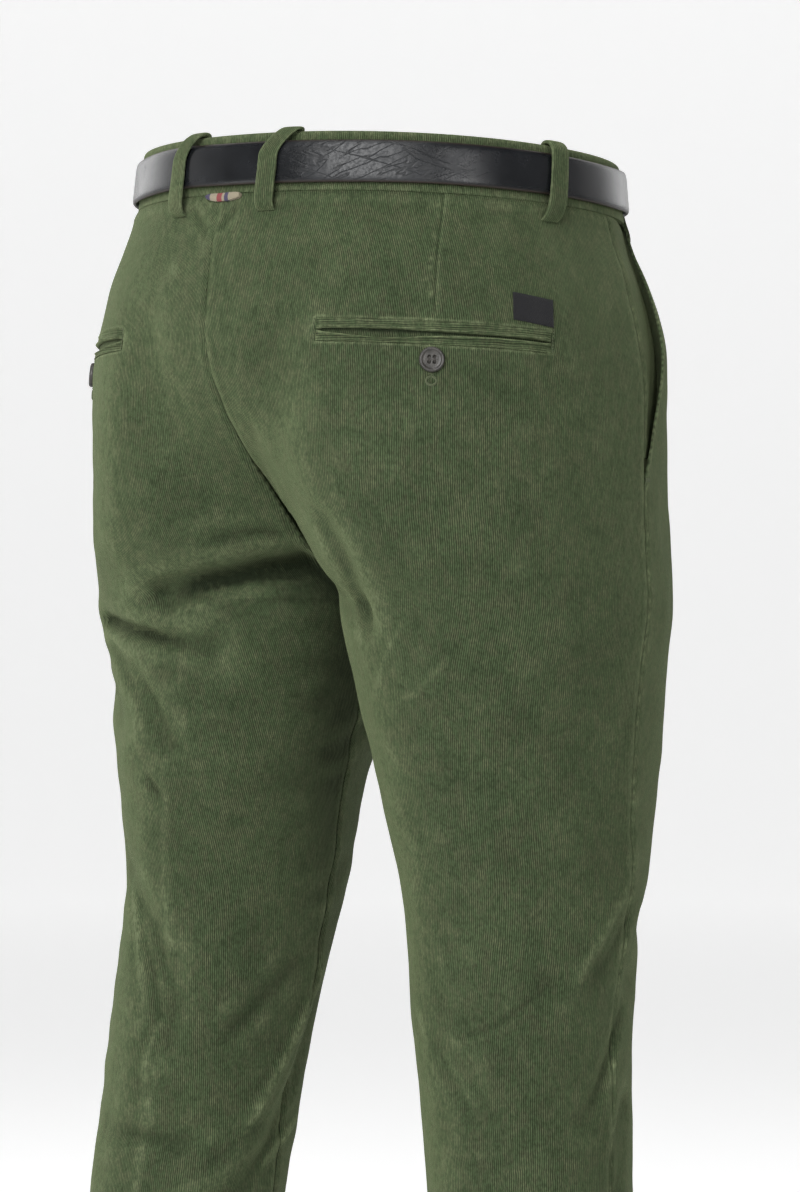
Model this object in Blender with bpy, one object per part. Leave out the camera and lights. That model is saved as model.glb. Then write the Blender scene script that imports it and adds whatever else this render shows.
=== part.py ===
"""Worn corduroy trousers with their leather belt, as a maker's separate pieces round a hollow.

Metres, +Z up. The origin is the centre of the waist opening. The front faces -Y, the wearer's left is +X.
Every cloth piece is a wall on one form: horizontal sections from the waist to the hem, each half a round
torso above the crotch that turns into a closed leg below it.
"""
from collections import namedtuple

import bpy
import numpy as np
from mathutils import Matrix, Vector

# ---------------------------------------------------------------- driving sizes
CLOTH = 0.0015  # needlecord wall
GAP = 0.0003  # between pieces that touch
LENGTH = 1.000  # waist edge to hem
CROTCH = -0.270  # height of the crotch under the waist edge
WAIST_TILT = 0.067  # the waist edge rises this much per metre towards the back
TILT_ENDS = -0.230  # height where the sections are level again
BAND_HEIGHT = 0.035
BAND_WALL = 0.003
SIDES = {"left": 1, "right": -1}

# Half the torso, by height: how far it reaches out, back and forwards, and how square it is (2 is an oval)
Torso = namedtuple("Torso", "z side back front power")
TORSO = [
    Torso(z=0.000, side=0.153, back=0.132, front=0.127, power=2.15),
    Torso(z=-0.035, side=0.157, back=0.136, front=0.129, power=2.15),
    Torso(z=-0.080, side=0.170, back=0.145, front=0.134, power=2.35),
    Torso(z=-0.120, side=0.180, back=0.149, front=0.135, power=2.45),
    Torso(z=-0.170, side=0.186, back=0.148, front=0.135, power=2.40),
    Torso(z=-0.220, side=0.188, back=0.143, front=0.134, power=2.25),
    Torso(z=-0.270, side=0.190, back=0.138, front=0.130, power=2.20),
    Torso(z=-0.320, side=0.191, back=0.134, front=0.127, power=2.20),
]

# One leg, by height: its middle, and its half sizes out, in, back and forwards. Above the crotch it is the
# half of the torso round which the seat and the thigh are cut.
Leg = namedtuple("Leg", "z middle out inner back front")
LEG = [
    Leg(z=0.000, middle=0.080, out=0.080, inner=0.080, back=0.130, front=0.125),
    Leg(z=-0.120, middle=0.090, out=0.090, inner=0.090, back=0.148, front=0.130),
    Leg(z=-0.190, middle=0.095, out=0.095, inner=0.095, back=0.144, front=0.128),
    Leg(z=-0.235, middle=0.097, out=0.095, inner=0.097, back=0.126, front=0.120),
    Leg(z=-0.270, middle=0.098, out=0.095, inner=0.098, back=0.104, front=0.112),
    Leg(z=-0.310, middle=0.099, out=0.088, inner=0.090, back=0.098, front=0.102),
    Leg(z=-0.380, middle=0.100, out=0.074, inner=0.074, back=0.089, front=0.087),
    Leg(z=-0.450, middle=0.100, out=0.067, inner=0.067, back=0.075, front=0.075),
    Leg(z=-0.520, middle=0.100, out=0.064, inner=0.064, back=0.067, front=0.067),
    Leg(z=-0.600, middle=0.100, out=0.062, inner=0.062, back=0.062, front=0.063),
    Leg(z=-0.720, middle=0.100, out=0.061, inner=0.061, back=0.063, front=0.061),
    Leg(z=-1.000, middle=0.100, out=0.058, inner=0.058, back=0.061, front=0.061),
]

# How the wearer's stance moves each leg from there: out, back and toes turned out, in metres and degrees
Stance = namedtuple("Stance", "z out back toes")
STANCE = {
    "left": [
        Stance(z=-0.180, out=0.000, back=0.000, toes=0),
        Stance(z=-0.270, out=0.000, back=0.008, toes=0),
        Stance(z=-0.380, out=0.005, back=0.017, toes=15),
        Stance(z=-0.450, out=0.010, back=0.019, toes=17),
        Stance(z=-0.520, out=0.021, back=0.026, toes=18),
        Stance(z=-0.634, out=0.035, back=0.036, toes=18),
        Stance(z=-1.000, out=0.055, back=0.056, toes=18),
    ],
    "right": [
        Stance(z=-0.180, out=0.000, back=0.000, toes=0),
        Stance(z=-0.270, out=0.000, back=-0.004, toes=0),
        Stance(z=-0.380, out=0.002, back=-0.015, toes=15),
        Stance(z=-0.450, out=0.006, back=-0.015, toes=17),
        Stance(z=-0.520, out=0.008, back=-0.011, toes=18),
        Stance(z=-0.634, out=0.012, back=-0.014, toes=18),
        Stance(z=-1.000, out=0.018, back=-0.002, toes=18),
    ],
}

# The side seam's place round the leg, in degrees from straight out, forwards negative
Seam = namedtuple("Seam", "z turn")
SIDE_SEAM = [
    Seam(z=0.000, turn=-22),
    Seam(z=-0.090, turn=-19),
    Seam(z=-0.200, turn=-17),
    Seam(z=-0.300, turn=-17),
    Seam(z=-0.380, turn=-26),
    Seam(z=-0.450, turn=-31),
    Seam(z=-0.520, turn=-30),
    Seam(z=-0.600, turn=-26),
    Seam(z=-1.000, turn=-24),
]

# The rise seam between the halves: its reach from the wearer's middle, down to where it curves in under
Rise = namedtuple("Rise", "reach start power")
BACK_RISE = Rise(reach=0.148, start=-0.110, power=1.4)
FRONT_RISE = Rise(reach=0.132, start=-0.150, power=2.2)
Parting = namedtuple("Parting", "start end")
INNER_PARTING = Parting(start=-0.060, end=-0.215)  # heights where the round torso turns into two legs,
OUTER_PARTING = Parting(start=-0.170, end=-0.300)  # beside the rise seam and out at the side
VALLEY = 3  # how sharply the seat turns in to the rise seam
EVEN = 0.244  # spreads the torso's points round it, so that they lie beside the leg's

# The largest folds: each runs through three places on a side, given as height and turn round the leg in
# degrees (180 at the inseam and the rise seam, 90 at the back, 0 at the side, -90 in front). Depth is inwards,
# so a ridge has a negative one.
Fold = namedtuple("Fold", "side start middle end width depth")
FOLDS = [
    # under the left seat
    Fold("left", (-0.243, 152), (-0.251, 124), (-0.268, 98), width=0.012, depth=0.008),
    Fold("left", (-0.262, 45), (-0.271, 88), (-0.281, 114), width=0.012, depth=-0.004),
    Fold("left", (-0.275, 40), (-0.286, 88), (-0.297, 124), width=0.010, depth=0.006),
    Fold("left", (-0.300, 64), (-0.325, 82), (-0.356, 91), width=0.009, depth=0.004),
    # behind the left knee
    Fold("left", (-0.440, 46), (-0.485, 80), (-0.536, 92), width=0.012, depth=0.004),
    Fold("left", (-0.500, 185), (-0.581, 156), (-0.640, 116), width=0.012, depth=-0.004),
    Fold("left", (-0.525, 196), (-0.600, 172), (-0.640, 150), width=0.010, depth=0.004),
    Fold("left", (-0.596, 50), (-0.601, 82), (-0.604, 108), width=0.012, depth=0.003),
    # under the right seat
    Fold("right", (-0.228, 104), (-0.252, 101), (-0.275, 104), width=0.010, depth=0.004),
    Fold("right", (-0.250, 156), (-0.268, 128), (-0.280, 100), width=0.012, depth=0.007),
    Fold("right", (-0.300, 95), (-0.281, 62), (-0.265, 23), width=0.015, depth=0.004),
    # behind the right knee
    Fold("right", (-0.426, -29), (-0.465, -12), (-0.504, 2), width=0.012, depth=-0.003),
    Fold("right", (-0.514, 72), (-0.521, 43), (-0.498, 19), width=0.010, depth=0.005),
    Fold("right", (-0.536, 76), (-0.554, 64), (-0.576, 50), width=0.010, depth=0.004),
    Fold("right", (-0.500, -43), (-0.548, -20), (-0.576, -5), width=0.012, depth=0.005),
    Fold("right", (-0.573, -44), (-0.600, -34), (-0.632, -24), width=0.010, depth=0.004),
    # across the front of the hips and the knees
    Fold("left", (-0.246, -152), (-0.226, -112), (-0.208, -66), width=0.014, depth=0.005),
    Fold("right", (-0.240, -150), (-0.224, -116), (-0.212, -74), width=0.013, depth=0.005),
    Fold("left", (-0.272, -154), (-0.281, -118), (-0.272, -70), width=0.012, depth=0.004),
    Fold("right", (-0.276, -158), (-0.290, -124), (-0.286, -84), width=0.012, depth=0.004),
    Fold("left", (-0.470, -56), (-0.482, -92), (-0.466, -130), width=0.014, depth=0.004),
    Fold("right", (-0.462, -60), (-0.476, -96), (-0.468, -138), width=0.014, depth=0.004),
    # down the shins and calves, where the cloth settles
    Fold("left", (-0.700, 134), (-0.726, 96), (-0.706, 50), width=0.017, depth=0.004),
    Fold("right", (-0.716, 130), (-0.738, 90), (-0.724, 46), width=0.018, depth=0.004),
    Fold("left", (-0.800, -50), (-0.824, -88), (-0.812, -136), width=0.018, depth=0.004),
    Fold("right", (-0.786, -44), (-0.806, -90), (-0.800, -130), width=0.017, depth=0.004),
    Fold("left", (-0.902, 140), (-0.918, 92), (-0.896, 40), width=0.016, depth=0.004),
    Fold("right", (-0.894, 132), (-0.914, 88), (-0.900, 44), width=0.016, depth=0.004),
    Fold("left", (-0.930, -48), (-0.950, -92), (-0.932, -134), width=0.015, depth=0.005),
    Fold("right", (-0.936, -52), (-0.954, -94), (-0.940, -140), width=0.015, depth=0.005),
]
# Arc length round the cloth for a full turn at a height, over two pi: it gives folds their real width
Round = namedtuple("Round", "z radius")
ROUND = [
    Round(z=0.000, radius=0.073),
    Round(z=-0.150, radius=0.086),
    Round(z=-0.270, radius=0.097),
    Round(z=-0.380, radius=0.081),
    Round(z=-0.520, radius=0.066),
    Round(z=-1.000, radius=0.060),
]

# Slanted mouth of the side pockets: from under the waistband down to the side seam
MOUTH_FORWARD = 0.045  # how far in front of the side seam it starts
MOUTH_END = -0.205
MOUTH_GAPE = 0.005  # how far the front's edge stands away half way down
GAPE_FADES = 0.040  # over this much of the front
FACING_UNDER = 0.014  # the facing goes on this far behind the front's edge
FACING_END = -0.188
FACING_DROP = 0.0031  # how far it lies inside the front's outer face

# Double-welt back pockets, from their inner to their outer end, along the cloth from centre back
POCKET_INNER = 0.085
POCKET_OUTER = 0.232
POCKET_HEIGHTS = (-0.117, -0.121)
WELT_HEIGHT = 0.0055
WELT_WALL = 0.0018
SLIT = 0.0016
BUTTON_ALONG = 0.157
BUTTON_HEIGHT = -0.134
BUTTON_RADIUS = 0.0075
BUTTON_WALL = 0.0032
BUTTON_SINKS = 0.0004  # the panel's flat facets lie about this far inside the form

LABEL_ALONG = (0.202, 0.230)
LABEL_HEIGHTS = (-0.0935, -0.1095)
LABEL_DROOP = 0.0015  # its outer end lies this much lower
LABEL_WALL = 0.0008
RIBBON_ALONG = (-0.019, 0.009)  # from centre back, towards the wearer's left
RIBBON_HEIGHTS = (-0.0310, -0.0345)
RIBBON_WALL = 0.0012

# Belt, wrapped clockwise seen from above: its tip lies over its buckle end, left of centre front
BELT_HEIGHTS = (-0.0050, -0.0300)
BELT_WALL = 0.0035
BELT_STANDS_OFF = 0.0008
BELT_LAP = 0.078  # tip, left of the buckle's middle
BELT_FOLD = 0.0145  # where the buckle end stops at the bar
LAP_LIFT = BELT_WALL + 0.0015  # the tip lies this much further out
LIFT_STARTS = 0.030  # right of centre front
LIFT_ENDS = 0.009  # left of centre front
BAR_RADIUS = 0.0020
BUCKLE_HALF_HEIGHT = 0.0153
BUCKLE_BARS = (-0.0245, 0.0115)  # outer bar and heel bar, along X
BUCKLE_DEPTHS = (0.0067, 0.0027)  # how far each bar's middle stands off the cloth at centre front
BUCKLE_CORNER = 0.005
PRONG_RADIUS = 0.0015
KEEPER_ALONG = 0.036
KEEPER_WIDTH = 0.009
KEEPER_WALL = 0.0012

# Belt loops: where each stands along the waistband from centre back, and how far its top leans to the front
Loop = namedtuple("Loop", "side name along lean")
LOOPS = [
    Loop("left", "back", along=0.034, lean=0.003),
    Loop("right", "back", along=0.040, lean=-0.002),
    Loop("left", "side", along=0.221, lean=-0.002),
    Loop("right", "side", along=0.219, lean=-0.003),
    Loop("left", "front", along=0.363, lean=0.000),
    Loop("right", "front", along=0.363, lean=0.000),
]
LOOP_WIDTH = 0.0095
# A loop from inside the waistband, over its top edge, round the belt and down on to the panel
Step = namedtuple("Step", "out z")
LOOP_PATH = [
    Step(-0.0044, -0.0100),
    Step(-0.0044, -0.0015),
    Step(-0.0040, 0.0008),
    Step(-0.0022, 0.0019),
    Step(0.0006, 0.0018),
    Step(0.0032, 0.0002),
    Step(0.0053, -0.0028),
    Step(0.0058, -0.0060),
    Step(0.0059, -0.0175),
    Step(0.0058, -0.0290),
    Step(0.0050, -0.0325),
    Step(0.0026, -0.0385),
    Step(0.0013, -0.0430),
    Step(0.0012, -0.0500),
]

# Behind the closed fly
FLY_END = -0.190
ZIP_HALF_WIDTH = 0.014
ZIP_DEPTH = 0.0038
ZIP_WALL = 0.0010
TAPE_EDGE = CLOTH + 0.0009  # its edges are sewn to the fronts, whose facets lie inside the form
GUARD_HALF_WIDTH = 0.020
GUARD_DEPTH = ZIP_DEPTH + ZIP_WALL + GAP
SLIDER_HEIGHTS = (-0.052, -0.062)
SLIDER_HALF_WIDTH = 0.004
SLIDER_WALL = 0.0014

# How finely the walls are divided
BACK_COLUMNS = 12
FRONT_COLUMNS = 10
SEAT_ROWS = 15
THIGH_ROWS = 24
THIGH_END = -0.650
THIGH_SPREAD = 1.3  # above 1 the rows lie closer near the crotch
SHIN_ROWS = 8
BAND_COLUMNS = 28


# ---------------------------------------------------------------- the form
def curve(rows, column, z):
    """A column of a table at height z, on a smooth curve through the table's rows."""
    heights = np.array([row.z for row in rows])[::-1]
    values = np.array([getattr(row, column) for row in rows], float)[::-1]
    slopes = np.gradient(values, heights)
    low = np.clip(np.searchsorted(heights, z) - 1, 0, len(heights) - 2)
    step = heights[low + 1] - heights[low]
    t = np.clip((z - heights[low]) / step, 0, 1)
    rise = t * t * (3 - 2 * t)
    bend = t * (1 - t) * step * ((1 - t) * slopes[low] - t * slopes[low + 1])
    return values[low] * (1 - rise) + values[low + 1] * rise + bend


def soft_step(t):
    t = np.clip(t, 0, 1)
    return t * t * (3 - 2 * t)


def reach(rise, z):
    """How far the rise seam lies from the wearer's middle at height z, 0 from the crotch down."""
    t = np.clip((rise.start - z) / (rise.start - CROTCH), 0, 1)
    return rise.reach * (1 - t**rise.power) ** (1 / rise.power)


def parted(parting, z):
    return soft_step((parting.start - z) / (parting.start - parting.end))


def angle(u, z):
    """The angle round the leg: pi at u = 0 (centre back, inseam), the side seam at 0.5, -pi at u = 1."""
    seam = np.radians(curve(SIDE_SEAM, "turn", z))
    behind = np.pi + (seam - np.pi) * u / 0.5
    ahead = seam - (np.pi + seam) * (u - 0.5) / 0.5
    return np.where(u < 0.5, behind, ahead)


def section(name, u, z):
    """Points of the smooth form, with +X out from the wearer's middle on either side."""
    phi = angle(u, z)
    theta = phi / 2 + EVEN * np.sin(phi)
    bend = 2 / curve(TORSO, "power", z)
    deep = np.where(theta > 0, curve(TORSO, "back", z), curve(TORSO, "front", z))
    torso_x = curve(TORSO, "side", z) * np.abs(np.cos(theta)) ** bend
    torso_y = deep * np.sign(np.sin(theta)) * np.abs(np.sin(theta)) ** bend

    wide = np.where(np.cos(phi) > 0, curve(LEG, "out", z), curve(LEG, "inner", z))
    deep = np.where(phi > 0, curve(LEG, "back", z), curve(LEG, "front", z))
    seam = np.where(phi > 0, reach(BACK_RISE, z), reach(FRONT_RISE, z)) * soft_step(-np.cos(phi))
    across, along = wide * np.cos(phi), np.abs(deep * np.sin(phi))
    along = np.sign(phi) * (along**VALLEY + seam**VALLEY) ** (1 / VALLEY)
    toes = np.radians(curve(STANCE[name], "toes", z))
    leg_x = curve(LEG, "middle", z) + curve(STANCE[name], "out", z)
    leg_x = leg_x + across * np.cos(toes) - along * np.sin(toes)
    leg_y = curve(STANCE[name], "back", z) + across * np.sin(toes) + along * np.cos(toes)

    inward = soft_step(0.5 - 0.5 * np.cos(phi))
    share = inward * parted(INNER_PARTING, z) + (1 - inward) * parted(OUTER_PARTING, z)
    x = torso_x + (leg_x - torso_x) * share
    y = torso_y + (leg_y - torso_y) * share
    tilt = WAIST_TILT * (1 - soft_step(z / TILT_ENDS))
    return np.stack([x, y, z + tilt * y], -1)


def relief(name, phi, z):
    """How far the folds lift the cloth off the smooth form."""
    radius = curve(ROUND, "radius", z)
    lift = np.zeros(np.shape(phi))
    for fold in FOLDS:
        if fold.side != name:
            continue
        start, middle, end = (np.array(place, float) for place in (fold.start, fold.middle, fold.end))
        pull = 2 * middle - (start + end) / 2
        t = np.linspace(0, 1, 25)[:, None]
        route = start * (1 - t) ** 2 + pull * 2 * t * (1 - t) + end * t**2
        nearest = np.full(np.shape(phi), np.inf)
        for height, turn in route:
            aside = (phi - np.radians(turn) + np.pi) % (2 * np.pi) - np.pi
            nearest = np.minimum(nearest, (aside * radius) ** 2 + (z - height) ** 2)
        lift -= fold.depth * np.exp(-nearest / fold.width**2)
    return lift


def cloth(name, u, z, out=0.0):
    """Points at a distance out from the cloth's outer face, in world coordinates."""
    u, z, out = np.broadcast_arrays(np.asarray(u, float), np.asarray(z, float), np.asarray(out, float))
    du, dz = 1e-3, 5e-4
    u_low, u_high = np.clip(u - du, 0, 1), np.clip(u + du, 0, 1)
    round_it = section(name, u_high, z) - section(name, u_low, z)
    up_it = section(name, u, z + dz) - section(name, u, z - dz)
    normal = np.cross(up_it, round_it)
    normal /= np.maximum(np.linalg.norm(normal, axis=-1, keepdims=True), 1e-12)
    points = section(name, u, z) + normal * (relief(name, angle(u, z), z) + out)[..., None]
    points[..., 0] = np.maximum(points[..., 0], GAP / 2)
    return points * np.array([SIDES[name], 1, 1])


ROW_LENGTHS = {}


def row_lengths(name, z):
    """Places u along the row at height z, and the cloth's length from u = 0 to each."""
    key = (name, round(float(z), 6))
    if key not in ROW_LENGTHS:
        u = np.linspace(0, 1, 801)
        points = section(name, u, float(z))
        steps = np.linalg.norm(np.diff(points, axis=0), axis=1)
        ROW_LENGTHS[key] = u, np.concatenate([[0], np.cumsum(steps)])
    return ROW_LENGTHS[key]


def moved(name, u, z, distance):
    """The place u after going a distance towards the front along the row at height z."""
    places, lengths = row_lengths(name, z)
    return float(np.interp(np.interp(u, places, lengths) + distance, lengths, places))


def evenly(name, first, last, z, columns):
    """Places u from first to last that divide the row at height z into equal lengths."""
    places, lengths = row_lengths(name, z)
    ends = np.interp([first, last], places, lengths)
    return np.interp(np.linspace(*ends, columns + 1), lengths, places)


def from_back(z, along, out=0.0):
    """The point at a length from centre back along a row, the wearer's left positive."""
    name = "left" if along >= 0 else "right"
    return cloth(name, moved(name, 0, z, abs(along)), z, out)


def from_front(z, along, out=0.0):
    """The point at a length from centre front along a row, the wearer's left positive."""
    name = "left" if along >= 0 else "right"
    return cloth(name, moved(name, 1, z, -abs(along)), z, out)


# ---------------------------------------------------------------- building
def finish_material(name, colour, roughness, metallic=0.0):
    material = bpy.data.materials.new(name)
    material.use_nodes = True
    shader = material.node_tree.nodes["Principled BSDF"]
    shader.inputs["Base Color"].default_value = (*colour, 1)
    shader.inputs["Roughness"].default_value = roughness
    shader.inputs["Metallic"].default_value = metallic
    material.diffuse_color = (*colour, 1)
    return material


def build(name, points, faces, material, smooth=True):
    mesh = bpy.data.meshes.new(name)
    mesh.from_pydata([tuple(map(float, point)) for point in points], [], faces)
    if smooth:
        mesh.shade_smooth()
        mesh.set_sharp_from_angle(angle=np.radians(40))
    mesh.materials.append(material)
    piece = bpy.data.objects.new(name, mesh)
    bpy.context.scene.collection.objects.link(piece)
    return piece


def wall(name, outside, inside, material):
    """A closed wall between two grids, rows downwards and columns clockwise seen from above."""
    outside, inside = np.asarray(outside), np.asarray(inside)
    rows, columns = outside.shape[:2]
    count = rows * columns

    def at(i, j, layer):
        return layer * count + i * columns + j

    faces = []
    for i in range(rows - 1):
        for j in range(columns - 1):
            a, b, c, d = (i, j), (i, j + 1), (i + 1, j + 1), (i + 1, j)
            faces += [(at(*a, 0), at(*b, 0), at(*c, 0)), (at(*a, 0), at(*c, 0), at(*d, 0))]
            faces += [(at(*a, 1), at(*c, 1), at(*b, 1)), (at(*a, 1), at(*d, 1), at(*c, 1))]
    border = [(0, j) for j in range(columns)]
    border += [(i, columns - 1) for i in range(1, rows)]
    border += [(rows - 1, j) for j in range(columns - 2, -1, -1)]
    border += [(i, 0) for i in range(rows - 2, 0, -1)]
    for here, there in zip(border, border[1:] + border[:1]):
        faces += [(at(*there, 0), at(*here, 0), at(*here, 1)), (at(*there, 0), at(*here, 1), at(*there, 1))]
    return build(name, np.concatenate([outside.reshape(-1, 3), inside.reshape(-1, 3)]), faces, material)


def side_wall(name, side, places, depths, material):
    """A wall on one side's cloth. places is rows of (u, z), depths the outer and inner distance out."""
    u, z = np.moveaxis(np.asarray(places, float), -1, 0)
    if side == "right":
        u, z = u[:, ::-1], z[:, ::-1]
        depths = [np.asarray(depth)[:, ::-1] if np.ndim(depth) == 2 else depth for depth in depths]
    return wall(name, cloth(side, u, z, depths[0]), cloth(side, u, z, depths[1]), material)


def panel_rows(last=-LENGTH):
    top = -(BAND_HEIGHT + GAP)
    seat = top + (CROTCH - top) * np.sin(np.pi / 2 * np.linspace(0, 1, SEAT_ROWS))
    thigh = CROTCH + (THIGH_END - CROTCH) * np.linspace(0, 1, THIGH_ROWS + 1)[1:] ** THIGH_SPREAD
    shin = np.linspace(THIGH_END, -LENGTH, SHIN_ROWS + 1)[1:]
    rows = np.concatenate([seat, thigh, shin])
    return rows[rows >= last - 1e-9]


def mouth_forward(z):
    """How far the pocket's mouth lies in front of the side seam at height z."""
    top = -(BAND_HEIGHT + GAP)
    return MOUTH_FORWARD * np.clip((z - MOUTH_END) / (top - MOUTH_END), 0, 1)


def make_back(side, material):
    places = []
    for z in panel_rows():
        first = moved(side, 0, z, GAP / 2) if z < CROTCH else 0
        last = moved(side, 0.5, z, -GAP / 2)
        places.append([(u, z) for u in np.linspace(first, last, BACK_COLUMNS + 1)])
    return side_wall(f"back_{side}", side, places, (0, -CLOTH), material)


def make_front(side, material):
    places, lifts = [], []
    top = -(BAND_HEIGHT + GAP)
    for z in panel_rows():
        first = moved(side, 0.5, z, GAP / 2 + mouth_forward(z))
        last = moved(side, 1, z, -GAP / 2) if z < CROTCH else 1
        row = np.linspace(first, last, FRONT_COLUMNS + 1)
        lengths = np.interp(row, *row_lengths(side, z))
        gape = MOUTH_GAPE * np.sin(np.pi * np.clip((z - top) / (MOUTH_END - top), 0, 1)) ** 2
        lifts.append(gape * (1 - soft_step((lengths - lengths[0]) / GAPE_FADES)))
        places.append([(u, z) for u in row])
    lifts = np.array(lifts)
    return side_wall(f"front_{side}", side, places, (lifts, lifts - CLOTH), material)


def make_facing(side, material):
    """The strip of cloth in the pocket's mouth: flush with the side seam, then in behind the front."""
    places, drops = [], []
    for z in panel_rows(last=FACING_END):
        shares = np.linspace(0, 1, 6)
        width = mouth_forward(z) + FACING_UNDER
        places.append([(moved(side, 0.5, z, GAP / 2 + share * width), z) for share in shares])
        drops.append(-FACING_DROP * soft_step(shares * width / mouth_forward(z)))
    drops = np.array(drops)
    return side_wall(f"pocket_facing_{side}", side, places, (drops, drops - CLOTH), material)


def make_band(side, material):
    rows = (0, -BAND_HEIGHT)
    places = [[(u, z) for u in evenly(side, 0, 1, z, BAND_COLUMNS)] for z in rows]
    return side_wall(f"waistband_{side}", side, places, (0, -BAND_WALL), material)


def pocket_line(along):
    share = (along - POCKET_INNER) / (POCKET_OUTER - POCKET_INNER)
    return POCKET_HEIGHTS[0] + (POCKET_HEIGHTS[1] - POCKET_HEIGHTS[0]) * share


def make_welt(side, name, way, material):
    """A welt on one side of the slit, crowned along its middle; way is 1 above the slit, -1 below."""
    places, lifts = [], []
    crown = {0: 0.6, 1: 1.0, 2: 0.6}
    for step in (0, 1, 2) if way < 0 else (2, 1, 0):
        drop = way * (SLIT / 2 + WELT_HEIGHT * step / 2)
        row = []
        for along in np.linspace(POCKET_INNER, POCKET_OUTER, 11):
            z = pocket_line(along) + drop
            row.append((moved(side, 0, z, along), z))
        places.append(row)
        lifts.append([GAP + WELT_WALL * crown[step]] * len(row))
    return side_wall(f"pocket_welt_{name}_{side}", side, places, (np.array(lifts), GAP), material)


def frame_at(centre, above, beside):
    """A matrix whose z stands on the cloth at centre and whose y points along it to above."""
    up = (Vector(above) - Vector(centre)).normalized()
    across = (Vector(beside) - Vector(centre)).normalized()
    out = across.cross(up).normalized()
    up = out.cross(across)
    matrix = Matrix((across, up, out)).transposed().to_4x4()
    matrix.translation = Vector(centre)
    return matrix


def make_button(side, material):
    """A turned button with a raised rim, its face away from the cloth."""
    profile = [(0, 0), (0.9, 0), (1.0, 0.35), (0.96, 0.9), (0.84, 1.0), (0.72, 0.72), (0, 0.72)]
    sign = SIDES[side]
    seat = [
        from_back(z, sign * along, -BUTTON_SINKS)
        for z, along in (
            (BUTTON_HEIGHT, BUTTON_ALONG),
            (BUTTON_HEIGHT + 0.003, BUTTON_ALONG),
            (BUTTON_HEIGHT, BUTTON_ALONG - sign * 0.003),
        )
    ]
    matrix = frame_at(*seat)
    sides = 20
    points = [Vector((0, 0, 0))]
    for radius, height in profile[1:-1]:
        for k in range(sides):
            turn = 2 * np.pi * k / sides
            points.append(
                Vector((np.cos(turn), np.sin(turn), 0)) * radius * BUTTON_RADIUS
                + Vector((0, 0, height * BUTTON_WALL))
            )
    points.append(Vector((0, 0, profile[-1][1] * BUTTON_WALL)))
    faces = []
    rings = len(profile) - 2
    for k in range(sides):
        after = (k + 1) % sides
        faces.append((0, 1 + after, 1 + k))
        for ring in range(rings - 1):
            low, high = 1 + ring * sides, 1 + (ring + 1) * sides
            faces.append((low + k, low + after, high + after, high + k))
        last = 1 + (rings - 1) * sides
        faces.append((last + k, last + after, len(points) - 1))
    return build(f"pocket_button_{side}", [matrix @ point for point in points], faces, material)


def make_label(material):
    rows = []
    for z in LABEL_HEIGHTS:
        row = []
        for along in np.linspace(*LABEL_ALONG, 4):
            share = (along - LABEL_ALONG[0]) / (LABEL_ALONG[1] - LABEL_ALONG[0])
            height = z - LABEL_DROOP * share
            row.append((moved("right", 0, height, along), height))
        rows.append(row)
    return side_wall("label", "right", rows, (GAP + LABEL_WALL, GAP), material)


def make_ribbon(material):
    def layer(out):
        columns = np.linspace(*RIBBON_ALONG, 5)
        return [[from_back(z, along, out) for along in columns] for z in RIBBON_HEIGHTS]

    return wall("ribbon_tab", layer(GAP + RIBBON_WALL), layer(GAP), material)


def strip_round(name, path, thickness, width, place, material):
    """A strip bent along a path of steps out from the cloth, place(z, across, out) giving its points."""
    route = np.array([(step.out, step.z) for step in path])
    along = np.gradient(route, axis=0)
    along /= np.linalg.norm(along, axis=1, keepdims=True)
    aside = np.stack([-along[:, 1], along[:, 0]], 1)  # away from the cloth where the path runs down
    layers = []
    for sign in (1, -1):
        edge = route + aside * sign * thickness / 2
        columns = np.linspace(-width / 2, width / 2, 3)
        layers.append([[place(z, across, out) for across in columns] for out, z in edge])
    return wall(name, layers[0], layers[1], material)


def make_loop(loop, material):
    sign = SIDES[loop.side]
    bottom = LOOP_PATH[-1].z

    def place(z, across, out):
        along = sign * (loop.along + loop.lean * (1 - z / bottom)) + across
        return from_back(min(z, 0), along, out) + np.array([0, 0, max(z, 0)])

    return strip_round(
        f"belt_loop_{loop.name}_{loop.side}", LOOP_PATH, CLOTH, LOOP_WIDTH, place, material
    )


def waist_length(z):
    return row_lengths("left", z)[1][-1]


def round_waist(z, clockwise, out):
    """A point on the waist by its clockwise length from centre front, seen from above."""
    half = waist_length(z)
    return from_back(z, clockwise - half, out) if clockwise > 0 else from_back(z, clockwise + half, out)


def belt_lift(clockwise):
    """How far the strap stands out beyond its place next to the waistband."""
    overlap = soft_step((LIFT_STARTS - clockwise) / (LIFT_STARTS + LIFT_ENDS))
    return LAP_LIFT * overlap


def make_strap(material):
    middle = sum(BELT_HEIGHTS) / 2
    half = waist_length(middle)
    start, end = -BELT_LAP, 2 * half - BELT_FOLD
    near = np.linspace(start, 0.032, 15)
    stations = np.concatenate([near, np.linspace(0.032, end, 46)[1:]])
    layers = []
    for out in (BELT_STANDS_OFF + BELT_WALL, BELT_STANDS_OFF):
        layer = []
        for z in BELT_HEIGHTS:
            scale = waist_length(z) / half
            layer.append([round_waist(z, s * scale, out + belt_lift(s)) for s in stations])
        layers.append(layer)
    return wall("belt_strap", layers[0], layers[1], material)


def tube_faces(rings, sides, closed):
    faces = []
    for i in range(rings if closed else rings - 1):
        low, high = i * sides, ((i + 1) % rings) * sides
        for k in range(sides):
            after = (k + 1) % sides
            faces.append((low + k, low + after, high + after, high + k))
    if not closed:
        faces.append(tuple(reversed(range(sides))))
        faces.append(tuple(range((rings - 1) * sides, rings * sides)))
    return faces


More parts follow.
